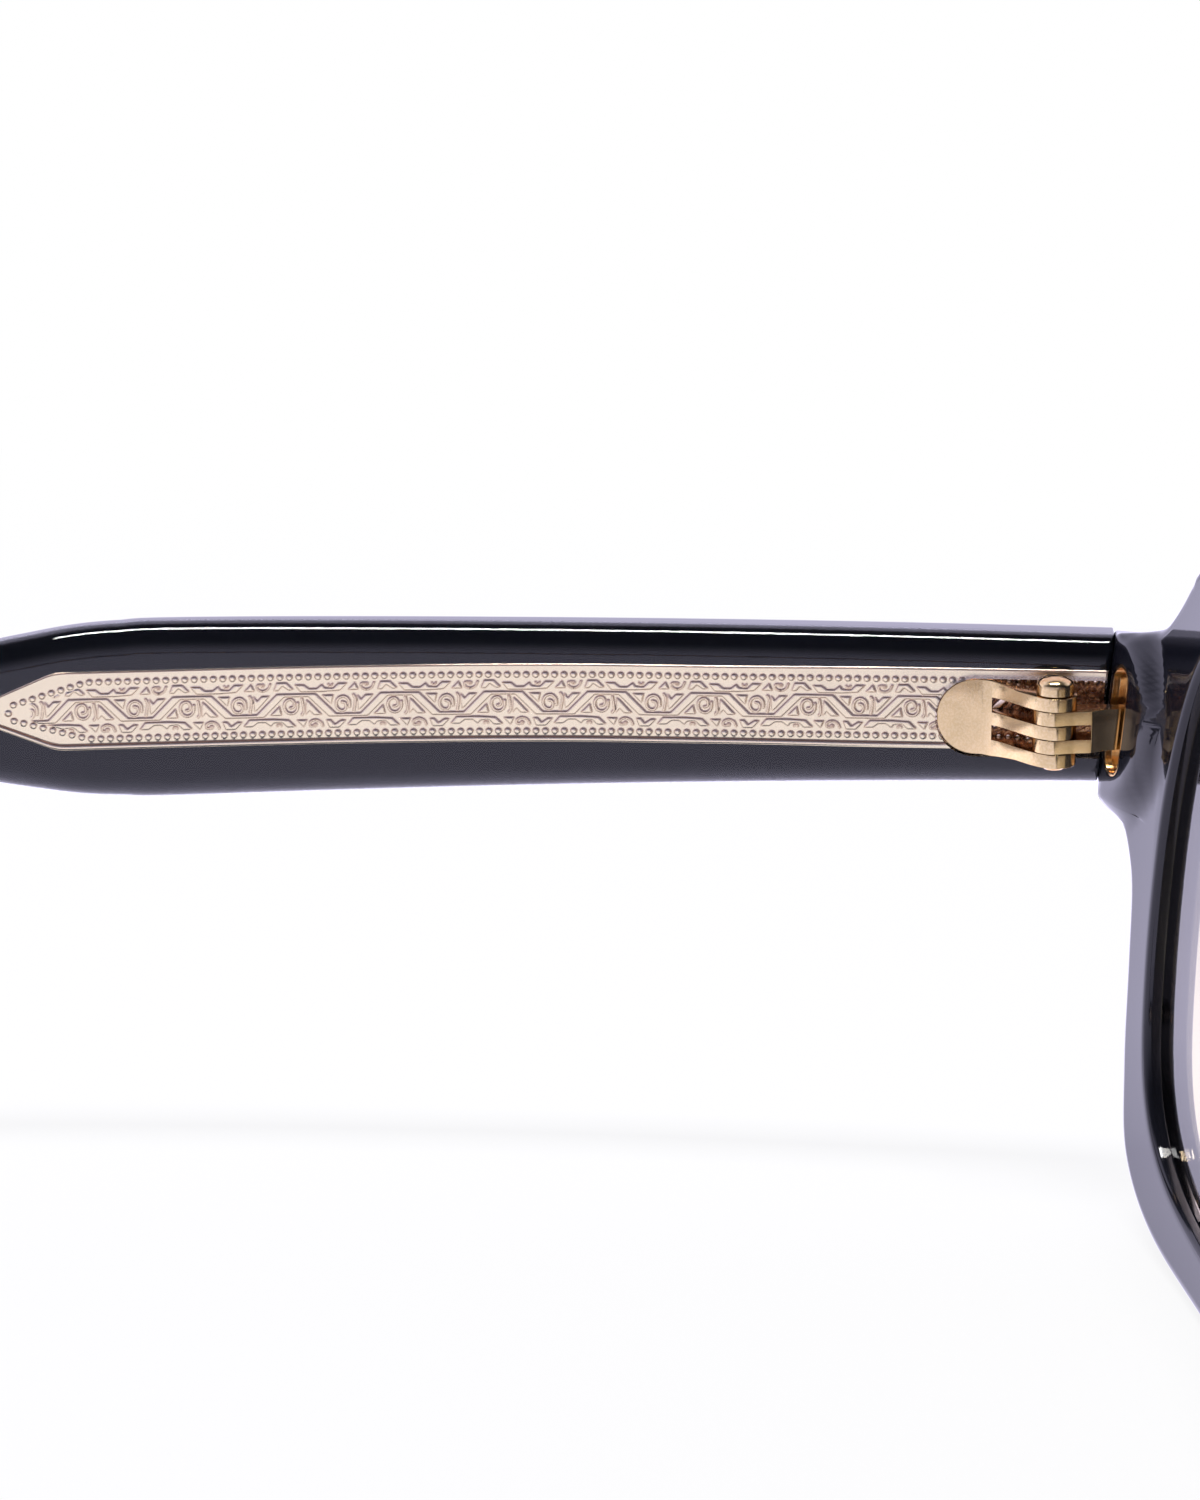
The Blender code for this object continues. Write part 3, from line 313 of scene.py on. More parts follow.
def loft(sections):
    """Faces between closed sections of equal size, and one across each end."""
    rows, columns = sections.shape[:2]
    faces = grid_faces(rows, columns).tolist()
    faces.append(list(range(columns))[::-1])
    faces.append([(rows - 1) * columns + step for step in range(columns)])
    return sections.reshape(-1, 3), faces


def arc(centre, radius, start, end, count):
    """Points on a circle between two angles in degrees."""
    turn = np.radians(np.linspace(start, end, count))
    return np.column_stack([centre[0] + radius * np.cos(turn), centre[1] + radius * np.sin(turn)])


def full_turn():
    return np.arange(ROUND_STEPS) * 2 * math.pi / ROUND_STEPS


def quarter_turn(steps, whole):
    """Angles from 0 at even parts of a quarter turn."""
    return 0.5 * np.pi * steps / whole


def steps_from(x, z, *steps):
    """Points given by their steps, in millimetres, from another point."""
    return [(x + across * MM, z + up * MM) for across, up in steps]


def lens_centre():
    front = setting("front")
    return np.array([0.5 * (front.bridge_width + front.lens_width), front.lens_centre_z])


def hinge_x():
    front, temple = setting("front"), setting("temple")
    return lens_centre()[0] + 0.5 * front.lens_width + front.endpiece_reach - temple.thickness


def temple_path(along):
    """Place, inward and up directions of the left temple's inner face: its heading turns at a steady rate
    over the bow and the ear bend, and the place is the sum of the short steps along that heading."""
    temple = setting("temple")
    step = 0.25 * MM
    fine = np.arange(-10.0 * MM, temple.length + 10.0 * MM, step)
    yaw = temple.splay - np.clip(fine, 0.0, temple.bow_end) / temple.bow_radius
    drop = np.clip((fine - temple.ear_bend_start) / temple.ear_bend_radius, 0.0, temple.ear_bend)
    way = np.column_stack([np.sin(yaw) * np.cos(drop), np.cos(yaw) * np.cos(drop), -np.sin(drop)])
    travel = np.vstack([np.zeros(3), np.cumsum(0.5 * (way[1:] + way[:-1]) * step, axis=0)])
    start = np.array([np.interp(0.0, fine, travel[:, axis]) for axis in range(3)])
    travel = travel - start + (hinge_x(), 0.0, 0.0)
    place = np.column_stack([np.interp(along, fine, travel[:, axis]) for axis in range(3)])
    yaw, drop = np.interp(along, fine, yaw), np.interp(along, fine, drop)
    inward = np.column_stack([-np.cos(yaw), np.sin(yaw), 0 * yaw])
    up = np.column_stack([np.sin(yaw) * np.sin(drop), np.cos(yaw) * np.sin(drop), np.cos(drop)])
    return place, inward, up


def temple_places(along, depth, height):
    """Points at a distance along the temple, a depth below its inner face and a height, as a grid."""
    shape = np.broadcast_shapes(along.shape, depth.shape, height.shape)
    along, depth, height = (np.broadcast_to(value, shape).reshape(-1) for value in (along, depth, height))
    place, inward, up = temple_path(along)
    return (place - depth[:, None] * inward + height[:, None] * up).reshape(*shape, 3)


def placed_axes(*columns):
    """The matrix whose columns are three directions and a place."""
    matrix = np.eye(4)
    matrix[:3] = np.column_stack(columns)
    return matrix


def hinge_frame():
    """Matrix from hinge coordinates (along the temple, inward, up) to the worn frame, at the left axis."""
    hinge = setting("hinge")
    place, inward, up = temple_path(np.array([hinge.setback]))
    axis = place[0] + hinge.standoff * inward[0] - hinge.drop * up[0]
    return placed_axes(np.cross(inward[0], up[0]), inward[0], up[0], axis)


def seat():
    """Turn and shift from the worn frame to the row frame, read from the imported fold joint."""
    joint = next(joint for joint in frame["joints"] if joint["name"] == "left_temple_fold")
    _, lean, rise = joint["axis"]
    turn = np.array([[1.0, 0.0, 0.0], [0.0, rise, lean], [0.0, -lean, rise]])
    return turn, np.array(joint["pos_m"]) - turn @ hinge_frame()[:3, 3]


def to_row(points):
    turn, shift = seat()
    return np.asarray(points, float) @ turn.T + shift


def math_operator(operation, turned=False):
    """A method that joins a signal and another value by a Math node, in turned order if asked."""

    def method(self, other):
        pair = (other, self) if turned else (self, other)
        return self.paint.node("ShaderNodeMath", {"operation": operation}, dict(enumerate(pair)))

    return method


class Signal:
    """A shader socket on which Python's operators add Math nodes."""

    def __init__(self, paint, socket):
        self.paint = paint
        self.socket = socket

    __add__, __radd__ = math_operator("ADD"), math_operator("ADD", turned=True)
    __sub__, __rsub__ = math_operator("SUBTRACT"), math_operator("SUBTRACT", turned=True)
    __mul__, __rmul__ = math_operator("MULTIPLY"), math_operator("MULTIPLY", turned=True)
    __truediv__, __lt__ = math_operator("DIVIDE"), math_operator("LESS_THAN")
    least, most = math_operator("MINIMUM"), math_operator("MAXIMUM")

    def clamped(self):
        return self.most(0.0).least(1.0)

    def between(self, low, high):
        """0 below low, 1 above high, and a smooth ramp between them."""
        limits = {"Value": self, "From Min": low, "From Max": high}
        return self.paint.node("ShaderNodeMapRange", {"interpolation_type": "SMOOTHSTEP"}, limits)


class Paint:
    """The nodes of one material or of the world."""

    def __init__(self, holder):
        holder.use_nodes = True
        self.holder = holder
        self.tree = holder.node_tree
        self.tree.nodes.clear()

    def node(self, kind, settings=None, inputs=None, output=0):
        """A node with its settings, and then its sockets' values or links."""
        made = self.tree.nodes.new(kind)
        for name, value in (settings or {}).items():
            setattr(made, name, value)
        for name, value in (inputs or {}).items():
            socket = made.inputs[name]
            if isinstance(value, Signal):
                self.tree.links.new(value.socket, socket)
            else:
                socket.default_value = (*value, 1.0) if socket.type == "RGBA" else value
        return Signal(self, made.outputs[output])

    def mix(self, factor, low, high):
        """A colour between two colours."""
        return self.node("ShaderNodeMix", {"data_type": "RGBA"}, {0: factor, 6: low, 7: high}, output=2)

    def place(self):
        """Place on the object, in metres."""
        return self.node("ShaderNodeTexCoord", output=3)

    def part(self, vector, axis):
        """One of a vector's three parts."""
        return self.node("ShaderNodeSeparateXYZ", inputs={0: vector}, output=axis)

    def ray(self, kind):
        """1 for light paths of one kind."""
        return self.node("ShaderNodeLightPath", output=f"Is {kind} Ray")

    def noise(self, scale, detail=2.0, vector=None):
        inputs = {"Vector": vector or self.place(), "Scale": scale, "Detail": detail}
        return self.node("ShaderNodeTexNoise", inputs=inputs)

    def specks(self, spacing, radius, amount):
        """1 in small round specks: points closer than a radius to some of the seeds of a cell pattern."""
        cells = {"Vector": self.place(), "Scale": 1.0 / spacing}
        distance = self.node("ShaderNodeTexVoronoi", inputs=cells)
        lot = self.part(self.node("ShaderNodeTexVoronoi", inputs=cells, output=1), 0)
        return (distance < radius / spacing * (0.4 + lot)) * (lot < amount)

    def bump(self, height, distance, strength):
        inputs = {"Height": height, "Distance": distance, "Strength": strength}
        return self.node("ShaderNodeBump", inputs=inputs)

    def finish(self, **inputs):
        """The material, once a Principled shader with these inputs is its surface."""
        names = [name.replace("_", " ").title().replace("Ior", "IOR") for name in inputs]
        self.output(self.node("ShaderNodeBsdfPrincipled", inputs=dict(zip(names, inputs.values()))))
        return self.holder

    def output(self, shader):
        kind = "World" if isinstance(self.holder, bpy.types.World) else "Material"
        made = self.tree.nodes.new("ShaderNodeOutput" + kind)
        self.tree.links.new(shader.socket, made.inputs["Surface"])


def painted(name, recipe):
    """The material of that name, made by its recipe the first time."""
    found = bpy.data.materials.get(name)
    if found is None:
        found = recipe(Paint(bpy.data.materials.new(name)))
    return found


def black_acetate(paint):
    """Polished black acetate: a faint cloudy body tone, fine polishing marks and a few dust specks."""
    finish = setting("finish")
    body = paint.mix(paint.noise(180.0), finish.black, [1.6 * value for value in finish.black])
    dust = paint.specks(2.6 * MM, 0.03 * MM, 0.5).most(paint.specks(4.3 * MM, 0.075 * MM, 0.4))
    haze = paint.noise(900.0, 4.0)
    marks = paint.node("ShaderNodeMapping", inputs={"Vector": paint.place(), "Scale": (1.0, 0.06, 1.0)})
    lines = paint.noise(9000.0, 3.0, marks)
    return paint.finish(
        base_color=paint.mix(dust, body, (0.55, 0.53, 0.5)),
        roughness=finish.black_roughness * (0.7 + haze * 0.6) + dust * 0.5,
        normal=paint.bump(lines, 0.0000012, 0.5),
        ior=1.49,
    )


def bonding_black(paint):
    """The black seen through the clear layer: no gloss of its own, because the two layers are one."""
    body = paint.mix(paint.noise(180.0), (0.0105, 0.0125, 0.018), (0.0135, 0.0155, 0.0225))
    return paint.finish(base_color=body, roughness=0.9, specular_ior_level=0.0)


def clear_acetate(paint):
    """Clear polished acetate with a faint haze in its gloss."""
    tint = paint.mix(paint.noise(60.0), setting("finish").clear, (0.97, 0.97, 0.985))
    haze = paint.noise(700.0, 3.0)
    return paint.finish(
        base_color=tint,
        roughness=0.012 + haze * 0.012,
        transmission_weight=1.0,
        ior=1.49,
    )


def machined_clear(paint):
    """The milled recess in the clear layer: tool marks and dried brown bonding film."""
    marks = paint.noise(4200.0, 3.0)
    rings = paint.node("ShaderNodeTexWave", {"wave_type": "RINGS"}, {
        "Vector": paint.place(), "Scale": 900.0, "Distortion": 6.0, "Detail": 2.0, "Detail Scale": 4.0,
    })
    return paint.finish(
        base_color=paint.mix(marks.between(0.4, 0.64), (0.17, 0.07, 0.032), (0.60, 0.37, 0.22)),
        roughness=0.12 + marks * 0.25,
        normal=paint.bump(marks + rings * 0.5, 0.00005, 0.6),
        transmission_weight=1.0,
        ior=1.49,
    )


def tinted_lens(paint):
    """Lens tint from dark brown at the top to pale amber at the bottom, over the lens's own height."""
    finish = setting("finish")
    low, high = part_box("lens_left")
    height = (paint.part(paint.place(), 2) - low.z) / (high.z - low.z)
    cloud = paint.noise(40.0) * 0.04
    fade = (height + cloud).between(0.18, 0.92)
    return paint.finish(
        base_color=paint.mix(fade, finish.lens_bottom, finish.lens_top),
        roughness=0.004 + paint.noise(300.0) * 0.004,
        transmission_weight=1.0,
        ior=1.5,
    )


def hinge_gold(paint):
    """Gold plating: satin grain, cloudy tone, small bare spots, and painted sheen and shade that follow the
    view angle.
    """
    finish = setting("finish")
    cloud = paint.noise(420.0, 5.0)
    grain = paint.noise(6500.0, 3.0)
    spots = paint.specks(0.5 * MM, 0.03 * MM, 0.25)
    pale = paint.mix(cloud.between(0.35, 0.65), finish.gold, finish.gold_worn)
    # Painted sheen and shade: paler where a face turns to the viewer, deeper gold where it is seen edge-on
    turned = paint.node("ShaderNodeLayerWeight", inputs={"Blend": 0.5}, output=1)
    tone = paint.mix(turned.between(0.25, 0.6), pale, finish.gold_edge_on_shade)
    tone = paint.mix(grain.between(0.45, 0.6) * 0.12, tone, (0.95, 0.85, 0.62))
    return paint.finish(
        base_color=paint.mix(spots * 0.5, tone, (0.42, 0.29, 0.19)),
        metallic=1.0,
        roughness=finish.gold_roughness * (0.7 + cloud * 0.5) + spots * 0.15,
        normal=paint.bump(grain, 0.000004, 0.6),
    )


def engraved_gold(paint):
    """Pale rose gold whose engraved lines are darker and duller: their own dark fill and painted shade."""
    finish = setting("finish")
    line = paint.node("ShaderNodeAttribute", {"attribute_name": "groove"}, output=2)
    cloud = paint.noise(240.0, 4.0)
    tone = paint.mix(cloud, finish.core, [0.95 * value for value in finish.core])
    return paint.finish(
        # The line darkness carries the engraving's fill and painted shade on flanks that face up
        base_color=paint.mix((line * 1.1).clamped(), tone, finish.core_line_and_shade),
        metallic=1.0,
        roughness=finish.core_roughness * (0.85 + cloud * 0.3) + line * 0.25,
        normal=paint.bump(paint.noise(5200.0, 2.0), 0.000003, 0.4),
    )


def read_values(items, name, kind=np.float32):
    """Three values of every vertex, face or triangle of a mesh, as rows."""
    values = np.empty(len(items) * 3, kind)
    items.foreach_get(name, values)
    return values.reshape(-1, 3)


def make_mesh(name, points, faces, side=1):
    """A mesh in the row frame from worn-frame points. Side -1 mirrors it to the right. The sign of its volume
    tells whether it is inside out."""
    points = to_row(np.array(points, float) * (side, 1.0, 1.0))
    mesh = bpy.data.meshes.new(name)
    mesh.from_pydata(points.tolist(), [], [list(face) for face in faces])
    mesh.validate()
    mesh.calc_loop_triangles()
    triangles = points[read_values(mesh.loop_triangles, "vertices", np.int32)]
    volume = np.einsum("ij,ij->i", triangles[:, 0], np.cross(triangles[:, 1], triangles[:, 2])).sum()
    if volume < 0:
        mesh.flip_normals()
    mesh.shade_smooth()
    return mesh


def link_object(name, data):
    """A new object of the scene with that mesh, lamp or camera."""
    made = bpy.data.objects.new(name, data)
    bpy.context.scene.collection.objects.link(made)
    return made


def make_thing(name, mesh, materials=()):
    """A new object with a mesh and its materials."""
    for material in materials:
        mesh.materials.append(material)
    return link_object(name, mesh)


def apply_modifiers(thing):
    """Puts the result of the modifiers into the mesh."""
    graph = bpy.context.evaluated_depsgraph_get()
    evaluated = thing.evaluated_get(graph)
    mesh = bpy.data.meshes.new_from_object(evaluated, preserve_all_data_layers=True, depsgraph=graph)
    thing.modifiers.clear()
    thing.data = mesh
    return thing


def combine(target, other, operation="DIFFERENCE"):
    """Boolean with a helper, put into the mesh, after which the helper goes."""
    modifier = target.modifiers.new("combined", "BOOLEAN")
    modifier.operation = operation
    modifier.solver = "EXACT"
    modifier.material_mode = "TRANSFER"
    modifier.object = other
    apply_modifiers(target)
    bpy.data.objects.remove(other)
    return target


def soften(thing, width):
    """Rounds the sharp edges over a small width."""
    bevel = thing.modifiers.new("softened", "BEVEL")
    bevel.width = width
    bevel.segments = 3
    bevel.limit_method = "ANGLE"
    bevel.angle_limit = math.radians(30.0)
    bevel.miter_outer = "MITER_ARC"
    bevel.use_clamp_overlap = True
    return apply_modifiers(thing)


def place_piece(thing, body, slot, *nodes, sharp=40.0):
    """Marks the sharp edges, ties a piece to its body, and hides the nodes that it stands for. The slot is
    not used.
    """
    thing.data.shade_smooth()
    thing.data.set_sharp_from_angle(angle=math.radians(sharp))
    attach(thing, body)
    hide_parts(*nodes)
    return thing


# Lens outline as shares of the boxed half width and half height, from the outer side downwards and round
LENS_SHAPE = [
    (1.0, 0.20), (0.977, -0.35), (0.88, -0.73), (0.655, -0.93), (0.25, -0.998), (-0.25, -0.98),
    (-0.655, -0.78), (-0.896, -0.27), (-1.0, 0.32), (-0.945, 0.72), (-0.69, 0.935), (-0.25, 0.998),
    (0.29, 0.99), (0.69, 0.875), (0.908, 0.63),
]


def lens_outline():
    """The closed edge of the left lens opening, a smooth curve through the shares of its box."""
    front = setting("front")
    shape = np.array(LENS_SHAPE) * (0.5 * front.lens_width, 0.5 * front.lens_height)
    return smooth_curve(shape, 40, closed=True) + lens_centre()


def front_outline():
    """Outer edge of the front's left half as a smooth curve, from the bridge's top to its underside."""
    front, temple = setting("front"), setting("temple")
    centre_x, centre_z = lens_centre()
    lens_left, lens_right = centre_x - 0.5 * front.lens_width, centre_x + 0.5 * front.lens_width
    lens_top, lens_bottom = centre_z + 0.5 * front.lens_height, centre_z - 0.5 * front.lens_height
    half, rim = 0.5 * temple.height, front.rim_width
    hinge, end = hinge_x(), hinge_x() + temple.thickness * math.cos(temple.splay)
    wide, tall = front.lens_width, front.lens_height
    line = [
        (0.0, front.bridge_top),
        (0.6 * lens_left, front.bridge_top + 0.9 * MM),
        (lens_left + 4.0 * MM, lens_top + 0.45 * rim),
        (centre_x - 0.29 * wide, lens_top + rim),
        (centre_x + 0.15 * wide, lens_top + 0.97 * rim),
        (centre_x + 0.36 * wide, lens_top + 0.4 * rim),
        (lens_right - 0.8 * MM, lens_top - 0.21 * rim),
        *steps_from(hinge, half, (-7.4, 6.1), (-6.2, 4.6), (-5.0, 3.3), (-3.9, 2.35), (-2.0, 1.38)),
        *steps_from(hinge, half, (0.0, 0.56), (1.5, 0.24)),
        *steps_from(end, half, (-1.6, 0.1), (-0.45, -0.38), (0.0, -1.6)),
        (end, 0.0),
        *steps_from(end, -half, (0.0, 1.2), (-0.25, 0.3), (-1.0, -0.3)),
        *steps_from(hinge, -half, (1.3, -0.6), (0.5, -1.2), (-0.7, -2.2), (-2.1, -3.6)),
        (lens_right + 1.13 * rim, -half - 5.8 * MM),
        (lens_right + 0.88 * rim, centre_z - 0.195 * tall),
        (lens_right + 0.53 * rim, centre_z - 0.358 * tall),
        (lens_right - 0.08 * rim, lens_bottom + 0.03 * rim),
        (centre_x + 0.37 * wide, lens_bottom - 0.78 * rim),
        (centre_x + 0.15 * wide, lens_bottom - 0.96 * rim),
        (centre_x - 0.14 * wide, lens_bottom - 0.85 * rim),
        (centre_x - 0.37 * wide, lens_bottom + 0.22 * rim),
        (lens_left - 0.05 * rim, centre_z - 0.22 * tall),
        (lens_left - 0.72 * rim, centre_z),
        (0.45 * lens_left, front.bridge_under - 2.5 * MM),
        (0.0, front.bridge_under),
    ]
    return smooth_curve(line, 24)


def face_curve(x):
    """How far back the front bends at x from its middle: a parabola plus a slope, blended at the bridge."""
    front = setting("front")
    reach = np.sqrt(x * x + front.bridge_blend**2)
    return (reach - lens_centre()[0]) ** 2 / (2 * front.curve_radius) + front.curve_slope * reach


def rim_rear(x):
    """Depth of the rim's rear face: the face curve, counted from a place beside the temple's inner face."""
    level_x = hinge_x() - 1.5 * MM
    return face_curve(x) - face_curve(level_x) - setting("front").rear_set_forward


def front_rear(x, height):
    """Depth of the whole rear face: it lies square to the temple at the butt joint, and it steps down to the
    rim along half an ellipse around the hinge."""
    front, hinge = setting("front"), hinge_x()
    plain = rim_rear(np.minimum(x, hinge)) - np.maximum(x - hinge, 0.0) * math.tan(setting("temple").splay)
    across = np.minimum(x - hinge, 0.0) / front.hinge_pad
    up = height / (0.5 * front.hinge_pad_height)
    raised = smooth_step(1.0 + (1.0 - np.hypot(across, up)) * front.hinge_pad / front.step_width)
    return plain + front.endpiece_step * raised


def front_point(x, height, depth):
    """Worn-frame place of a point of the front, which leans by its tilt."""
    tilt = setting("front").tilt
    lean, rise = math.sin(tilt), math.cos(tilt)
    return np.stack([x + 0 * depth, depth * rise - height * lean, depth * lean + height * rise], axis=-1)


def spread_along(line, count):
    """Points at even steps along a line, both ends included."""
    travel = np.concatenate([[0.0], np.cumsum(np.linalg.norm(np.diff(line, axis=0), axis=1))])
    at = np.linspace(0.0, travel[-1], count)
    return np.column_stack([np.interp(at, travel, line[:, axis]) for axis in (0, 1)])


def lens_rays(outline_rays=OUTLINE_RAYS, seam_rays=SEAM_RAYS):
    """Rays from the lens centre to the outer edge of the half front, the last ones to the mirror plane: their
    centre, directions, and lengths to the lens opening and to the end."""
    front, centre = setting("front"), lens_centre()
    rim_ends = spread_along(front_outline(), outline_rays)
    ease = 0.5 - 0.5 * np.cos(np.pi * np.arange(1, seam_rays) / seam_rays)
    seam_height = front.bridge_under + (front.bridge_top - front.bridge_under) * ease
    seam_ends = np.column_stack([0 * ease, seam_height])
    offset = np.vstack([rim_ends, seam_ends]) - centre
    angles = np.arctan2(offset[:, 1], offset[:, 0])
    end_reach = np.linalg.norm(offset, axis=1)
    hole = lens_outline() - centre
    bearing = np.unwrap(np.arctan2(hole[:, 1], hole[:, 0]))
    turn = 2 * math.pi * np.sign(bearing[-1] - bearing[0])
    bearing = np.concatenate([bearing - turn, bearing, bearing + turn])
    order = np.argsort(bearing)
    hole_reach = np.interp(angles, bearing[order], np.tile(np.linalg.norm(hole, axis=1), 3)[order])
    return centre, offset / end_reach[:, None], hole_reach, end_reach


def half_front():
    """Left half of the front on a grid of rays and rings: each ray's closed section runs over the rear face,
    down the rounded outer edge, back over the front face and through the lens groove."""
    front = setting("front")
    centre, aim, hole_reach, end_reach = lens_rays()
    corner = quarter_turn(np.arange(8), 7)
    from_hole = (1 - np.cos(corner)) * front.lip_radius - front.lip_draft
    inner = hole_reach[:, None] + from_hole
    outer = end_reach[:, None] - (1 - np.sin(corner)) * front.edge_radius
    between = np.sin(quarter_turn(np.arange(1, 20), 20))
    middle = inner[:, -1:] + (outer[:, :1] - inner[:, -1:]) * between
    reach = np.hstack([inner, middle, outer])
    flat = centre + reach[..., None] * aim[:, None, :]
    edge = distance_to(front_outline(), flat.reshape(-1, 2)).reshape(reach.shape)
    lip = np.minimum(reach - hole_reach[:, None], (end_reach - hole_reach)[:, None]) + front.lip_draft
    x, height = flat[..., 0], flat[..., 1]
    butt_blend = 1.2 * MM
    near_butt = smooth_step((x - hinge_x() + butt_blend) / butt_blend)
    rear_radius = front.edge_radius + (front.butt_edge_radius - front.edge_radius) * near_butt
    rear = front_rear(x, height) - rounding(edge, rear_radius) - rounding(lip, front.lip_radius)
    face = rim_rear(x) - front.thickness
    face = face + rounding(edge, front.edge_radius) + rounding(lip, front.lip_radius)
    groove_reach = hole_reach[:, None] + np.array([0.0, front.groove_depth, 0.0])
    groove = centre + groove_reach[..., None] * aim[:, None, :]
    middle_depth = front.rear_lip_depth + 0.5 * front.lens_thickness
    below = np.array([middle_depth + 0.5 * front.lens_thickness, middle_depth, front.rear_lip_depth])
    groove_depth = rim_rear(groove[..., 0]) - below
    rear_points = front_point(x, height, rear)
    face_points = front_point(x, height, face)[:, ::-1]
    groove_points = front_point(groove[..., 0], groove[..., 1], groove_depth)
    sections = np.concatenate([rear_points, face_points, groove_points], axis=1)
    rays, size = sections.shape[:2]
    faces = grid_faces(rays + 1, size).reshape(rays, size, 4) % (rays * size)
    keep = np.ones((rays, size), bool)
    keep[OUTLINE_RAYS - 1 :, rear_points.shape[1] - 1] = False
    points = sections.reshape(-1, 3)
    points[np.abs(points[:, 0]) < 1e-8, 0] = 0.0
    return points, faces[keep]


def whole_front():
    """Both halves, sewn along the mirror plane and cut flat where the rims rest."""
    points, faces = half_front()
    both = np.vstack([points, points * (-1.0, 1.0, 1.0)])
    all_faces = np.vstack([faces, faces[:, ::-1] + len(points)])
    mesh = make_mesh("front_acetate", both, all_faces)
    sewn = bmesh.new()
    sewn.from_mesh(mesh)
    seam = [vertex for vertex in sewn.verts if abs(vertex.co.x) < 1e-7]
    bmesh.ops.remove_doubles(sewn, verts=seam, dist=1e-6)
    sewn.to_mesh(mesh)
    sewn.free()
    rest_on_table(mesh)
    return mesh


def rest_on_table(mesh):
    """Flattens what would lie below the table onto it."""
    places = read_values(mesh.vertices, "co")
    places[:, 2] = np.maximum(places[:, 2], 0.0)
    mesh.vertices.foreach_set("co", places.reshape(-1))
    mesh.update()


def cup_frame():
    """Middle of the oval cup on the rear face, with its directions across, out of the face and up."""
    hinge = setting("hinge")
    half, from_corner = 0.5 * hinge.cup_width, 0.12 * MM
    middle = hinge_x() - half - from_corner
    x = np.array([middle - half, middle, middle + half])
    ends = front_point(x, np.zeros(3), front_rear(x, 0.0))
    across = ends[2] - ends[0]
    across /= np.linalg.norm(across)
    up = front_point(np.zeros(1), np.ones(1), np.zeros(1))[0]
    outward = np.cross(up, across)
    lowest = min((end - ends[1]) @ outward for end in ends)
    return ends[1] + min(0.0, lowest) * outward, across, outward, up


def stadium(width, height):
    """Outline of a plate with two round ends."""
    radius = 0.5 * width
    straight = 0.5 * height - radius
    return np.vstack([arc((0.0, straight), radius, 0, 180, 28), arc((0.0, -straight), radius, 180, 360, 28)])


def cup_places(outline, level):
    middle, across, outward, up = cup_frame()
    return middle + outline[:, :1] * across + outline[:, 1:] * up + level * outward


def stadium_prism(width, height, low, high):
    """A plate with two round ends, between two levels over the cup's place."""
    outline = stadium(width, height)
    return loft(np.stack([cup_places(outline, low), cup_places(outline, high)]))


def lens_mesh():
    """Lens on rings around its centre: a sheet that follows the face curve, with a bevelled edge."""
    front = setting("front")
    centre, aim, reach, _ = lens_rays(outline_rays=240, seam_rays=20)
    half = 0.5 * front.lens_thickness
    middle = front.rear_lip_depth + half
    edge = reach - front.lens_clearance
    bevel = reach + front.lens_bevel
    rings = np.linspace(0.02, 1.0, 26)
    lengths = [part * edge for part in rings] + [bevel] + [part * edge for part in rings[::-1]]
    levels = [middle - half] * len(rings) + [middle] + [middle + half] * len(rings)
    place = centre + np.array(lengths)[..., None] * aim
    depth = rim_rear(place[..., 0]) - np.array(levels)[:, None]
    return loft(front_point(place[..., 0], place[..., 1], depth))


def pad_mesh():
    """Nose pad: an oval dome that leans towards the rim, a quarter circle from its foot to its crown."""
    front, turn = setting("front"), full_turn()
    past_edge, foot = 0.35 * MM, -0.12
    middle_x = lens_centre()[0] - 0.5 * front.lens_width + past_edge
    along = np.array([math.sin(front.pad_lean), -math.cos(front.pad_lean)])
    across = np.array([along[1], -along[0]])
    lift = np.append(foot, quarter_turn(np.arange(18), 17.5))[:, None, None]
    part = np.cos(lift)
    plan = 0.5 * front.pad_length * part * np.cos(turn)[:, None] * along
    plan = plan + 0.5 * front.pad_width * part * np.sin(turn)[:, None] * across
    plan = plan + (middle_x, front.pad_z) + 0.25 * front.pad_height * np.sin(lift) * across
    depth = front_rear(plan[..., 0], plan[..., 1]) + front.pad_height * np.sin(lift)[..., 0]
    return loft(front_point(plan[..., 0], plan[..., 1], depth))


def temple_height(along):
    temple = setting("temple")
    keys = [
        (0.0, temple.height),
        (0.24 * temple.length, temple.height + 0.57 * (temple.broad_height - temple.height)),
        *steps_from(temple.broad_end, temple.broad_height, (-8.2, 0.0), (-3.2, -0.18)),
        *steps_from(temple.broad_end, temple.broad_height, (0.0, -0.66), (3.6, -1.86)),
        *steps_from(temple.broad_end, temple.narrow_height, (8.5, 1.5), (15.0, 0.35)),
        *steps_from(temple.ear_bend_start, temple.narrow_height, (-6.0, 0.0), (8.0, 0.2)),
        *steps_from(temple.length, temple.tip_height, (-20.0, -0.7)),
        (temple.length - temple.tip_rounding, temple.tip_height),
        (temple.length, temple.tip_height),
    ]
    return smooth_value(keys, along)


def temple_thickness(along):
    temple = setting("temple")
    keys = [
        (0.0, temple.thickness),
        (0.4 * temple.length, temple.mid_thickness),
        (0.6 * temple.length, temple.mid_thickness - 0.15 * MM),
        (temple.length, temple.tip_thickness),
    ]
    return smooth_value(keys, along)


def inner_corner():
    """Profile of the temple's inner edge: a broad arc that leaves the flat face, then a tighter one up to the
    flat top. Returns how far each point lies behind the face and below the top."""
    temple = setting("temple")
    turn = np.linspace(0.0, 0.5 * np.pi, 26)
    change = temple.corner_change
    first, second = np.minimum(turn, change), np.maximum(turn, change)
    broad, tight = temple.inner_radius, temple.top_radius
    falls = broad * (1 - np.cos(first)) + tight * (math.cos(change) - np.cos(second))
    lifts = broad * np.sin(first) + tight * (np.sin(second) - math.sin(change))
    return falls, lifts[-1] - lifts


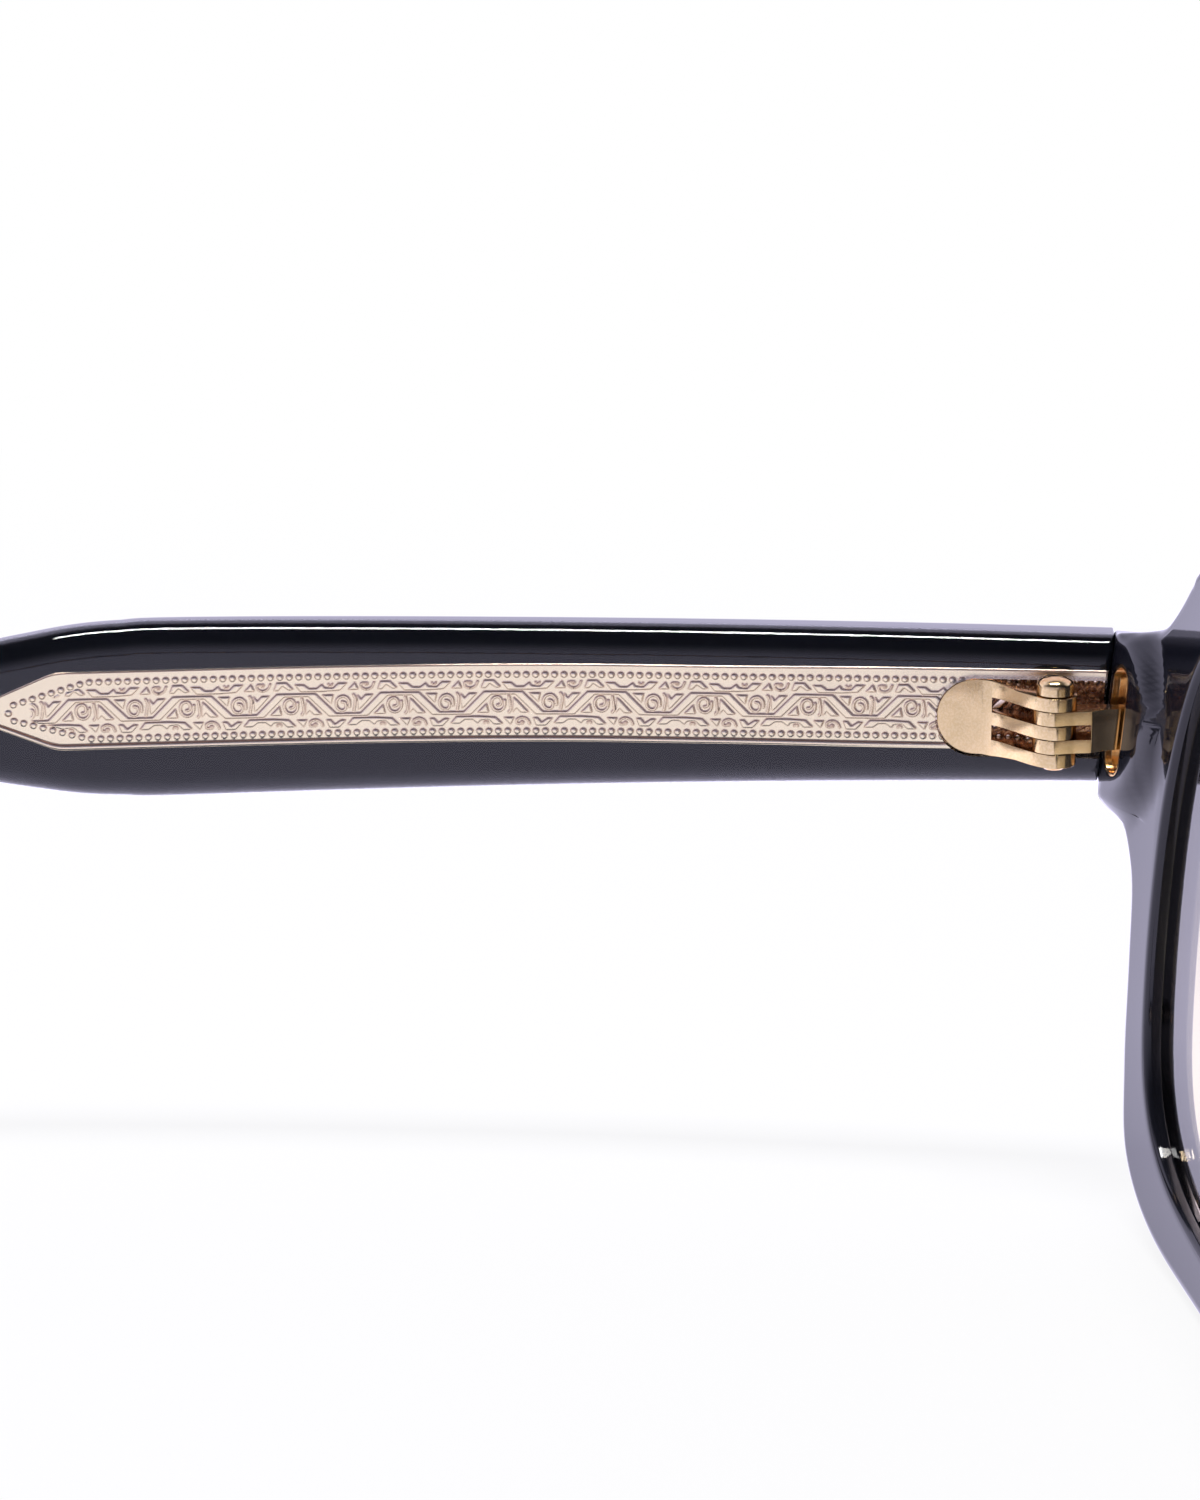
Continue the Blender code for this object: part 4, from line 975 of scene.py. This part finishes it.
def temple_layer(inner):
    """One layer of the left temple: a section carried along the path. The flat face turns into the top and
    the underside over rounded edges, and the whole section shrinks over the rounded tip."""
    temple, front = setting("temple"), setting("front")
    straight = np.linspace(temple.butt_gap + temple.butt_radius, temple.length - temple.tip_rounding, 230)
    start = temple.butt_gap + temple.butt_radius * (1 - np.cos(quarter_turn(np.arange(5), 5)))
    tip = temple.length - temple.tip_rounding * (1 - np.sin(quarter_turn(np.arange(1, 16), 15.4)))
    along = np.concatenate([start, straight, tip])[:, None]
    end = np.maximum(0.0, (along - temple.length + temple.tip_rounding) / temple.tip_rounding)
    inset = rounding(along - temple.butt_gap, temple.butt_radius)
    squash = np.sqrt(1.0 - 0.8 * end * end)
    thickness = temple_thickness(along)
    half = 0.5 * temple_height(along) * np.sqrt(1.0 - end * end) - inset
    low = 0.5 * thickness * (1.0 - squash) + inset
    high = 0.5 * thickness * (1.0 + squash) - inset
    part = np.array([0.0, 0.4, 0.75, 0.92])
    bond = temple.inner_layer + 0 * low
    if inner:
        falls, rises = inner_corner()
        falls = falls * np.minimum(1.0, (bond - low) / falls[-1])
        rises = rises * np.minimum(1.0, half / rises[0])
        depth = np.hstack([low + 0 * part, low + falls, bond])
        height = np.hstack([(half - rises[:, :1]) * part, half - rises, half])
    else:
        turn = np.linspace(0.0, 0.5 * np.pi, 18)
        radius = np.minimum(temple.outer_radius, half)
        least_side = 0.05 * MM
        falls = np.minimum(radius, high - bond - least_side) * (1 - np.cos(turn))
        rises = radius * (1 - np.sin(turn))
        depth = np.hstack([high + 0 * part, high - falls, bond, bond - temple.bond_lap])
        height = np.hstack([(half - radius) * part, half - rises, half, half - temple.bond_lap])
    depth = np.hstack([depth, depth[:, :0:-1]])
    height = np.hstack([height, -height[:, :0:-1]])
    slant_length = 12.0 * MM
    near = np.maximum(0.0, 1.0 - along / slant_length)
    opening = temple.butt_opening * np.maximum(0.0, 1.0 - depth / temple.inner_layer)
    opening = opening * (0.5 + height / temple.height)
    slant = opening - height * math.tan(front.tilt)
    return loft(temple_places(along + near * slant, depth, height))


def core_half_width(along):
    """Half width of the wire core: a plate with a point, then a thin wire."""
    core = setting("core")
    taper = core.point - core.shoulder
    remaining, blend = (core.point - along) / taper, core.shoulder_blend / taper
    rounded = 1.0 - np.clip(1.0 + blend - remaining, 0.0, None) ** 2 / (4.0 * blend)
    waist_start, waist_blend = 14.0 * MM, 12.0 * MM
    broad = core.width - core.waist * smooth_step((along - waist_start) / waist_blend)
    plate = 0.5 * broad * np.where(remaining < 1.0 - blend, remaining, rounded)
    return np.maximum(plate, 0.5 * core.wire_width)


def core_rise(along):
    """Height of the core's middle line above the temple's: a low arch."""
    core = setting("core")
    keys = [(-5.0 * MM, 0.1), (12.0 * MM, 0.22), (25.0 * MM, 0.5), (36.0 * MM, 0.95), (48.0 * MM, 1.0),
            (62.0 * MM, 0.75), (76.0 * MM, 0.55), (95.0 * MM, 0.0), (core.wire_end + 5.0 * MM, 0.0)]
    return core.arch * smooth_value(keys, along)


def ornament_shapes():
    """The raised shapes of one repeat of the ornament, in millimetres: lines with half widths, and fields.

    The shapes above the meander are listed. Those below are the same, upside down, half a repeat on."""
    repeat = setting("core").repeat / MM
    upper = np.array([(0.05, 0.80), (1.42, -0.58), (3.04, -0.58), (4.40, 0.80)])
    lower = flipped(upper, -0.5 * repeat)
    shifts = np.arange(-2, 3)[:, None, None] * (repeat, 0.0)
    band = np.vstack([(upper + shifts).reshape(-1, 2), (lower + shifts).reshape(-1, 2)[::-1]])
    scroll = smooth_curve([
        (2.33, -0.14), (2.28, 0.32), (1.98, 0.58), (1.60, 0.48), (1.42, 0.09), (1.55, -0.28), (1.88, -0.40),
        (2.09, -0.17), (2.04, 0.13), (1.83, 0.2)], 5)
    hook = smooth_curve([
        (3.30, 1.48), (3.12, 1.42), (3.14, 1.18), (3.47, 1.04), (3.82, 1.18), (3.98, 1.50)], 5)
    lines = [
        (scroll, 0.068),
        (smooth_curve([(2.60, 0.68), (2.72, 0.44), (2.68, 0.0), (2.60, -0.44)], 5), 0.06),
        (hook, 0.05),
        (arc((1.06, 1.44), 0.13, 180, 360, 9), 0.04),
        (arc((3.47, 1.40), 0.09, 0, 330, 9), 0.035),
    ]
    fields = [
        np.array([(0.52, 0.68), (1.24, 0.68), (1.10, 0.08)]),
        np.array([(2.86, 0.66), (3.10, 0.36), (3.40, 0.68), (3.90, 0.68), (3.12, -0.18), (2.92, -0.34),
                  (2.88, 0.0)]),
        np.array([(-1.29, 1.42), (-0.71, 1.42), (-0.36, 1.15), (0.15, 1.15), (0.51, 1.43), (0.68, 1.20),
                  (1.24, 1.16), (1.60, 1.50), (2.16, 1.48), (1.70, 1.02), (0.66, 0.95), (-0.92, 0.95)]),
        np.array([(2.26, 1.05), (2.70, 1.52), (2.92, 1.05)]),
        np.array([(4.22, 1.07), (4.42, 1.58), (5.06, 1.58), (5.50, 1.12), (5.22, 1.08), (4.78, 1.38),
                  (4.50, 1.06)]),
    ]
    lines += [(flipped(points, 0.5 * repeat), width) for points, width in lines]
    fields += [flipped(points, 0.5 * repeat) for points in fields]
    return lines, fields, band


def flipped(points, shift):
    """A shape turned upside down and moved along the ornament."""
    return points * (1.0, -1.0) + (shift, 0.04)


def field_distance(corners, points):
    """Signed distance to a filled outline, below 0 inside, where a ray to the right crosses it an odd number
    of times."""
    start, end = corners, np.roll(corners, -1, axis=0)
    x, y = points[:, :1], points[:, 1:]
    spans = (start[:, 1] > y) != (end[:, 1] > y)
    rise = np.where(np.abs(end[:, 1] - start[:, 1]) < 1e-12, 1e-12, end[:, 1] - start[:, 1])
    crossing = start[:, 0] + (y - start[:, 1]) * (end[:, 0] - start[:, 0]) / rise
    inside = (spans & (x < crossing)).sum(axis=1) % 2 == 1
    distance = distance_to(np.vstack([corners, corners[:1]]), points)
    return np.where(inside, -distance, distance)


def ornament_tile():
    """Height share and line darkness of one repeat on a fine grid. A shape rises over a narrow flank on each
    side of its edge, and the flank is drawn darker where it faces up, as painted shade."""
    core = setting("core")
    repeat, half = core.repeat / MM, 0.5 * core.width / MM
    step, flank, line_place, line_width = 0.03, 0.1, 0.01, 0.035
    columns, rows = int(round(repeat / step)), int(round(2 * half / step)) + 1
    across, up = np.arange(columns) * repeat / columns, np.linspace(-half, half, rows)
    places = np.column_stack([np.repeat(across, rows), np.tile(up, columns)])
    lines, fields, band = ornament_shapes()
    nearest = field_distance(band, places)
    for shift in (-repeat, 0.0, repeat):
        for points, width in lines:
            nearest = np.minimum(nearest, distance_to(points + (shift, 0.0), places) - width)
        for corners in fields:
            nearest = np.minimum(nearest, field_distance(corners + (shift, 0.0), places))
    nearest = nearest.reshape(columns, rows)
    height = smooth_step(0.5 - nearest / flank)
    rise = np.gradient(nearest, step, axis=1)
    line = falloff(nearest - line_place, line_width)
    # Painted shade: a line is drawn darkest where its flank faces up
    return height, line * (0.42 + 0.58 * np.clip(rise, 0.0, 1.0))


def bead_row(along):
    """Height of the bead rows above the core's middle: they run straight, then close in on the point."""
    core = setting("core")
    last_height, slope = 0.55 * MM, 0.2875
    closing = last_height + slope * (core.point - core.bead_end - along)
    return np.minimum(0.5 * core.width - core.bead_inset, closing)


def engraving(along, height):
    """Relief height and line darkness on the core's face: the repeated tile, a bead row along each edge, and
    the lines of the border. The darkness is the engraving's own fill with painted shade on up-facing sides."""
    core = setting("core")
    repeat = core.repeat / MM
    tile_height, tile_line = ornament_tile()
    columns, rows = tile_height.shape
    x = ((core.repeat_start - along) / MM) % repeat / repeat * columns
    y = (height / MM + 0.5 * core.width / MM) / (core.width / MM) * (rows - 1)
    left, low = np.floor(x).astype(int), np.clip(np.floor(y).astype(int), 0, rows - 2)
    part_x, part_y = x - left, np.clip(y - low, 0.0, 1.0)

    def read(tile):
        near, far = (tile[column % columns, low] * (1 - part_y) + tile[column % columns, low + 1] * part_y
                     for column in (left, left + 1))
        return near * (1 - part_x) + far * part_x

    half, last = core_half_width(along), core.point - core.bead_end
    margin, margin_blend, end_room, end_blend = 0.04 * MM, 0.06 * MM, 1.0 * MM, 0.3 * MM
    room, end = bead_row(along) - core.bead_radius - np.abs(height), last - end_room
    field = smooth_step((room - margin) / margin_blend) * smooth_step((end - along) / end_blend)
    raised, line = read(tile_height) * field, read(tile_line) * field

    bead = np.minimum(np.round((along - last) / core.bead_pitch), 0.0) * core.bead_pitch + last
    row, single_bead, rim_width = bead_row(bead), 0.36 * MM, 0.035 * MM
    from_bead = np.hypot(along - bead, np.abs(height) - row)
    from_bead = np.minimum(from_bead, np.hypot(along - last - single_bead, height))
    dome = np.sqrt(np.clip(1 - (from_bead / core.bead_radius) ** 2, 0.0, 1.0))
    raised = np.maximum(raised, 1.3 * dome)
    rim = falloff(from_bead - core.bead_radius, rim_width)
    # Painted shade: each bead's outline is drawn darker on its upper side
    above = np.clip((height - np.sign(height) * row) / core.bead_radius, -1.0, 1.0)
    line = np.maximum(line, rim * (0.5 + 0.45 * above))

    groove_width, line_inset, line_width = 0.07 * MM, 0.1 * MM, 0.03 * MM
    groove = falloff(half + height - core.edge_groove, groove_width)
    # Painted shade: the line near the upper edge stands for shade on the plate's upward bevel
    bevel_shade_line = falloff(half - height - line_inset, line_width)
    line = np.maximum(line, np.maximum(groove, 0.75 * bevel_shade_line))
    return core.relief * (raised - 1.2 * groove), np.clip(line, 0.0, 1.0)


def core_mesh():
    """Wire core: a section carried along the temple's path, with the engraving in real relief."""
    core, temple = setting("core"), setting("temple")
    wire_start = core.point - (core.point - core.shoulder) * core.wire_width / core.width
    plate = np.arange(core.start, wire_start, core.grain)
    wire = np.linspace(wire_start, core.wire_end, 44)
    along = np.concatenate([plate, wire])[:, None]
    across = np.linspace(1.0, -1.0, int(core.width / core.grain) + 2)
    half = core_half_width(along)
    top = temple.inner_layer - core.thickness
    back, sunk = temple.inner_layer - 2 * temple.bond_lap, 0.02 * MM
    face = (half - core.bevel) * across
    relief, line = engraving(along + 0 * face, face)
    fade_length = 0.5 * MM
    fade = smooth_step((wire_start - along) / fade_length)
    sides = np.broadcast_to([top + core.bevel, back, back, top + core.bevel], (len(along), 4))
    depth = np.hstack([top + sunk - relief * fade, sides])
    height = np.hstack([face, -half, -half, half, half])
    groove = np.hstack([line * fade, 0 * sides])
    points, faces = loft(temple_places(along + 0 * height, depth, height + core_rise(along)))
    return points, faces, groove.ravel()


def in_hinge(points):
    matrix = hinge_frame()
    return points @ matrix[:3, :3].T + matrix[:3, 3]


def hinge_prism(outline, low, high, axis):
    """A prism on a flat outline, across one of the hinge axes: 1 is inward and 2 is up."""
    outline = np.asarray(outline, float)
    return loft(np.array([in_hinge(np.insert(outline, axis, level, axis=1)) for level in (low, high)]))


def hinge_box(low, high):
    outline = [(low[0], low[1]), (high[0], low[1]), (high[0], high[1]), (low[0], high[1])]
    return hinge_prism(outline, low[2], high[2], axis=2)


def leaf_seat():
    """Level of the temple leaf's underside, just clear of the core, in hinge coordinates."""
    hinge, core_top = setting("hinge"), setting("temple").inner_layer - setting("core").thickness
    return -hinge.standoff - (core_top - hinge.leaf_seat_gap)


def barrel_steps():
    """From the middle of one barrel to the next, and from the middle of a slot to its side."""
    hinge = setting("hinge")
    return hinge.barrel_height + hinge.barrel_clearance, 0.5 * hinge.barrel_height + hinge.barrel_clearance


def leaf_height():
    hinge = setting("hinge")
    return 3 * hinge.barrel_height + 2 * (hinge.barrel_height + 2 * hinge.barrel_clearance)


def helper(name, shape, side, *materials):
    """An object of one side from a shape's points and faces."""
    return make_thing(name, make_mesh(name, *shape, side=side), materials)


def bored(leaf, side):
    """Cuts the screw's hole, a little wider than its shank."""
    ring = arc((0.0, 0.0), setting("hinge").screw_radius + 0.08 * MM, 0, 352.5, 48)
    return combine(leaf, helper("bore", hinge_prism(ring, -5 * MM, 5 * MM, axis=2), side))


def temple_leaf(side, metal):
    """Temple leaf: its side view swept across its height, trimmed to a round end, with two slots."""
    hinge = setting("hinge")
    reach, low = hinge.leaf_reach, leaf_seat()
    top = low + hinge.leaf_thickness
    part = np.linspace(0.0, 1.0, 22)
    climb = top + (hinge.barrel_radius - top) * smooth_step(part)
    rise = np.column_stack([hinge.bend_start * (1 - part), climb])
    barrel = arc((0.0, 0.0), hinge.barrel_radius, 95, 315, 34)
    under = smooth_curve([(0.17 * reach, -1.5 * MM), (0.28 * reach, -2.7 * MM), (0.4 * reach, low)], 5)
    profile = np.vstack([[(reach, top)], rise, barrel, under, [(reach, low)]])
    half = 0.5 * leaf_height()
    swept = hinge_prism(profile, -hinge.plate_height, hinge.plate_height, axis=2)
    leaf = helper("temple_leaf", swept, side, metal)
    front_end = -hinge.barrel_radius - 0.5 * MM
    broad = 0.5 * hinge.plate_height
    flank = np.array([(front_end, half), (hinge.barrel_radius + 1.1 * MM, half), (hinge.slot_end, broad)])
    end = arc((reach - broad, 0.0), broad, 90, -90, 41)
    plan = np.vstack([flank, end, flank[::-1] * (1.0, -1.0)])
    combine(leaf, helper("plan", hinge_prism(plan, -2 * PAST, PAST, axis=1), side), "INTERSECT")
    pitch, tine = barrel_steps()
    for gap in (-pitch, pitch):
        box = hinge_box((front_end - 1 * MM, -2 * PAST, gap - tine), (hinge.slot_end, PAST, gap + tine))
        combine(leaf, helper("slot", box, side))
    return soften(bored(leaf, side), hinge.edge_bevel)


def front_leaf(side, metal):
    """Front leaf: two barrels on a web that stands in an oval cup, whose rim is a thin raised ring."""
    hinge = setting("hinge")
    pitch, tine = barrel_steps()
    low, rim, wall = -hinge.cup_sunk - hinge.cup_depth, -0.04 * MM, 0.24 * MM
    leaf = helper("front_leaf", stadium_prism(hinge.cup_width, hinge.cup_height, low, rim), side, metal)
    hollow = stadium_prism(hinge.cup_width - 2 * wall, hinge.cup_height - 2 * wall, -hinge.cup_sunk, PAST)
    combine(leaf, helper("hollow", hollow, side))
    half = pitch + 0.5 * hinge.barrel_height
    root, radius, web = hinge.setback + 1.6 * MM, hinge.barrel_radius, hinge.web_face
    slope = smooth_curve([
        (-root, -0.4 * radius), (-hinge.setback, 0.05 * radius), (-1.08 * web, 0.42 * radius),
        (-0.95 * web, 0.53 * radius), (-0.76 * radius, 0.7 * radius)], 5)
    arm = np.vstack([arc((0.0, 0.0), radius, 90, -90, 34), [(-root, -0.93 * radius)], slope])
    block = helper("arm", hinge_prism(arm, -half, half, axis=2), side, metal)
    notch = hinge_box((-web, -PAST, -tine), (PAST, PAST, tine))
    combine(block, helper("notch", notch, side))
    combine(leaf, block, "UNION")
    return soften(bored(leaf, side), hinge.edge_bevel)


def screw_mesh():
    """Turned screw: a profile of radius against height, carried round the hinge axis."""
    hinge = setting("hinge")
    top = 0.5 * leaf_height() + hinge.barrel_clearance
    low, head, end = -top, hinge.head_radius, hinge.end_radius
    swell = np.radians([1.5, 14, 28, 42, 56, 70, 82])
    crown = [(head * math.sin(part), 0.5 + 0.5 * math.cos(part)) for part in swell]
    profile = [(radius, top + part * hinge.head_height) for radius, part in crown]
    profile += [(head, top + 0.4 * hinge.head_height), (head, top + 0.04 * MM), (head - 0.04 * MM, top)]
    profile += [(hinge.screw_radius, top), (hinge.screw_radius, low), (end, low), (end, low - 0.16 * MM)]
    profile += [(0.85 * end, low - 0.28 * MM), (0.55 * end, low - 0.34 * MM), (0.02 * end, low - 0.35 * MM)]
    profile, turn = np.array(profile), full_turn()
    ring = profile[:, :1] * np.cos(turn), profile[:, :1] * np.sin(turn), profile[:, 1:] + 0 * turn
    return loft(in_hinge(np.stack(ring, axis=-1).reshape(-1, 3)).reshape(len(profile), ROUND_STEPS, 3))


class EYEWEAR_OT_front(bpy.types.Operator):
    """Builds the acetate front with its nose pads"""

    bl_idname = "eyewear.front"
    bl_label = "Front and nose pads"

    def execute(self, context):
        hinge = setting("hinge")
        black = painted("polished black acetate", black_acetate)
        front = make_thing("front_acetate", whole_front(), [black])
        room = 0.06 * MM
        low = -hinge.cup_sunk - hinge.cup_depth - room
        for side, _ in SIDES:
            pocket = stadium_prism(hinge.cup_width + room, hinge.cup_height + room, low, PAST)
            combine(front, helper("pocket", pocket, side, black))
        place_piece(front, "front", "black_acetate", "front_frame")
        for side, tag in SIDES:
            pad = helper("nose_pad_acetate_" + tag, pad_mesh(), side, black)
            place_piece(pad, "front", "black_acetate", "nose_pad_" + tag)
        return {"FINISHED"}


class EYEWEAR_OT_lenses(bpy.types.Operator):
    """Builds the two tinted lenses"""

    bl_idname = "eyewear.lenses"
    bl_label = "Lenses"

    def execute(self, context):
        tint = painted("gradient tinted lens", tinted_lens)
        for side, tag in SIDES:
            lens = helper("tinted_lens_" + tag, lens_mesh(), side, tint)
            place_piece(lens, "front", "gradient_lens", "lens_" + tag, sharp=25.0)
        return {"FINISHED"}


class EYEWEAR_OT_temples(bpy.types.Operator):
    """Builds the black and the clear layers of the temples"""

    bl_idname = "eyewear.temples"
    bl_label = "Temple layers"

    def execute(self, context):
        hinge = setting("hinge")
        black = painted("polished black acetate", black_acetate)
        bond = painted("black bonding face", bonding_black)
        clear = painted("clear polished acetate", clear_acetate)
        milled = painted("milled clear acetate", machined_clear)
        for side, tag in SIDES:
            body = "temple_" + tag
            outer = helper("black_layer_" + tag, temple_layer(False), side, black, bond)
            rest_on_table(outer.data)
            self.mark_bond(outer.data, side)
            place_piece(outer, body, "black_acetate", "temple_outer_layer_" + tag, sharp=30.0)
            inner = helper("clear_layer_" + tag, temple_layer(True), side, clear, milled)
            rest_on_table(inner.data)
            half = 0.5 * hinge.plate_height + hinge.recess_clearance
            reach, past_butt = hinge.leaf_reach + hinge.recess_clearance, -hinge.setback - 2 * MM
            end = arc((reach - half, 0.0), half, 90, -90, 49)
            plan = np.vstack([[(past_butt, -half), (past_butt, half)], end])
            floor = leaf_seat() - hinge.leaf_seat_gap + 0.04 * MM
            combine(inner, helper("recess", hinge_prism(plan, floor, 0.0, axis=1), side, milled))
            place_piece(inner, body, "clear_acetate", "temple_inner_layer_" + tag, sharp=30.0)
        return {"FINISHED"}

    def mark_bond(self, mesh, side):
        """Gives the second material to the inward face, inside the clear layer, and to the butt face."""
        normal = read_values(mesh.polygons, "normal")
        hidden = (normal[:, 0] * -side > 0.6) | (normal[:, 1] < -0.9)
        mesh.polygons.foreach_set("material_index", hidden.astype(np.int32))


class EYEWEAR_OT_cores(bpy.types.Operator):
    """Builds the engraved wire cores"""

    bl_idname = "eyewear.cores"
    bl_label = "Wire cores"

    def execute(self, context):
        gold = painted("engraved pale gold", engraved_gold)
        points, faces, groove = core_mesh()
        for side, tag in SIDES:
            core = helper("engraved_core_" + tag, (points, faces), side, gold)
            darkness = core.data.attributes.new("groove", "FLOAT", "POINT")
            darkness.data.foreach_set("value", groove.astype(np.float32))
            place_piece(core, "temple_" + tag, "engraved_core", "wire_core_" + tag, sharp=50.0)
        return {"FINISHED"}


class EYEWEAR_OT_hinges(bpy.types.Operator):
    """Builds the hinge leaves and screws"""

    bl_idname = "eyewear.hinges"
    bl_label = "Hinges"

    def execute(self, context):
        gold = painted("gold plated hinge", hinge_gold)
        for side, tag in SIDES:
            for name, body, leaf in (
                ("hinge_temple_leaf_", "temple_" + tag, temple_leaf(side, gold)),
                ("hinge_front_leaf_", "front", front_leaf(side, gold)),
            ):
                leaf.name = "gold_" + name + tag
                place_piece(leaf, body, "gold_hinge", name + tag, sharp=35.0)
            screw = helper("gold_screw_" + tag, screw_mesh(), side, gold)
            place_piece(screw, "temple_" + tag, "gold_hinge", "hinge_screw_" + tag, sharp=35.0)
        return {"FINISHED"}


class EYEWEAR_OT_stage(bpy.types.Operator):
    """Builds the floor, the light and the camera"""

    bl_idname = "eyewear.stage"
    bl_label = "Stage"

    def execute(self, context):
        stage = setting("stage")
        self.floor(stage)
        self.sky()
        self.lamp(stage)
        self.camera(stage)
        context.scene.view_settings.view_transform = "Standard"
        return {"FINISHED"}

    def floor(self, stage):
        """Pale floor. Near the object it is part plain white and part lit, and so keeps the shadow. In
        reflections it glows, with a painted pool of light beside the object.
        """
        reach = 3.0
        corners = [(-reach, -reach, 0.0), (reach, -reach, 0.0), (reach, reach, 0.0), (-reach, reach, 0.0)]
        mesh = bpy.data.meshes.new("floor")
        mesh.from_pydata(corners, [], [(0, 1, 2, 3)])
        floor = make_thing("floor", mesh)
        paint = Paint(bpy.data.materials.new("white table"))
        place = paint.place()
        x = paint.part(place, 0)
        radius = paint.node("ShaderNodeVectorMath", {"operation": "LENGTH"}, {0: place}, output=1)
        camera, glossy, through = (paint.ray(kind) for kind in ("Camera", "Glossy", "Transmission"))
        far = radius.between(0.12, 0.32)
        seen = stage.floor_white + (1.0 - stage.floor_white) * far
        direct = (camera + through).clamped()
        # Painted light in reflections: the floor glows brighter towards +x and most in a pool beside the
        # object
        painted_light_pool = x.between(0.04, 0.11) * (1.0 - x.between(0.22, 0.42))
        level = direct + (1.0 - direct) * (1.08 + 0.17 * x.between(-0.05, 0.12) + painted_light_pool)
        tone = paint.mix(direct, REFLECTED_WHITE, (1.0, 1.0, 1.0))
        white = paint.node("ShaderNodeEmission", inputs={"Color": tone, "Strength": level})
        plain = paint.node("ShaderNodeBsdfDiffuse", inputs={"Color": (0.86, 0.86, 0.865)})
        mask = (camera + glossy + through).clamped() * seen
        paint.output(paint.node("ShaderNodeMixShader", inputs={0: mask, 1: plain, 2: white}))
        mesh.materials.append(paint.holder)

    def sky(self):
        """Studio round the table: bright behind the object, darker towards the camera's side and above."""
        world = bpy.data.worlds.new("studio")
        bpy.context.scene.world = world
        paint = Paint(world)
        way = paint.node("ShaderNodeTexCoord", output=0)
        x, z = paint.part(way, 0), paint.part(way, 2)
        far = (1.35 - 0.3 * z.between(0.2, 0.6)) * (1.0 - z.between(0.75, 0.93)) + 0.04
        near = 0.95 * (1.0 - z.between(-0.15, 0.7)) + 0.02
        side = x.between(-0.25, 0.25)
        glow = near + (far - near) * side
        camera = paint.ray("Camera")
        level = camera + (1.0 - camera) * glow
        tone = paint.mix(camera, REFLECTED_WHITE, (1.0, 1.0, 1.0))
        paint.output(paint.node("ShaderNodeBackground", inputs={"Color": tone, "Strength": level}))

    def lamp(self, stage):
        """Long strip lamp straight above the photographed temple."""
        data = bpy.data.lights.new("strip lamp", "AREA")
        data.shape = "RECTANGLE"
        data.size, data.size_y = stage.lamp_width, stage.lamp_length
        data.energy = stage.lamp_power
        above = to_row((hinge_x(), stage.look_y, 0.0)) + (0.0, stage.lamp_shift, stage.lamp_height)
        link_object("strip lamp", data).location = above

    def camera(self, stage):
        """Camera on the nose side of the left temple's inner face, a little above it."""
        rise, run = math.sin(stage.camera_elevation), math.cos(stage.camera_elevation)
        ahead, level, upright = np.array([[run, 0.0, -rise], [0.0, -1.0, 0.0], [rise, 0.0, run]])
        right = level * math.cos(stage.roll) - upright * math.sin(stage.roll)
        up = upright * math.cos(stage.roll) + level * math.sin(stage.roll)
        look = np.array([hinge_x(), stage.look_y, stage.look_z])
        turn, _ = seat()
        place = to_row(look - stage.camera_distance * ahead)
        data = bpy.data.cameras.new("camera")
        data.lens = stage.focal / MM
        data.clip_start, data.clip_end = 0.01, 20.0
        camera = link_object("camera", data)
        camera.matrix_world = placed_axes(turn @ right, turn @ up, turn @ -ahead, place).T
        bpy.context.scene.camera = camera


class EYEWEAR_PT_pieces(bpy.types.Panel):
    bl_idname = "EYEWEAR_PT_pieces"
    bl_label = "Sunglasses"
    bl_space_type = "VIEW_3D"
    bl_region_type = "UI"
    bl_category = "Sunglasses"

    def draw(self, context):
        for operator in OPERATORS:
            self.layout.operator(operator.bl_idname)
        for name, group in SETTINGS.items():
            box = self.layout.box()
            box.label(text=group.__name__)
            for field in group.__annotations__:
                box.prop(getattr(context.scene, name), field)


OPERATORS = (
    EYEWEAR_OT_front,
    EYEWEAR_OT_lenses,
    EYEWEAR_OT_temples,
    EYEWEAR_OT_cores,
    EYEWEAR_OT_hinges,
    EYEWEAR_OT_stage,
)


def register():
    for group in (*SETTINGS.values(), *OPERATORS, EYEWEAR_PT_pieces):
        bpy.utils.register_class(group)
    for name, group in SETTINGS.items():
        setattr(bpy.types.Scene, name, PointerProperty(type=group))


def unregister():
    for name in SETTINGS:
        delattr(bpy.types.Scene, name)
    for group in (EYEWEAR_PT_pieces, *reversed(OPERATORS), *reversed(list(SETTINGS.values()))):
        bpy.utils.unregister_class(group)


def main():
    register()
    for operator in OPERATORS:
        family, name = operator.bl_idname.split(".")
        getattr(getattr(bpy.ops, family), name)()


if __name__ == "__main__":
    main()
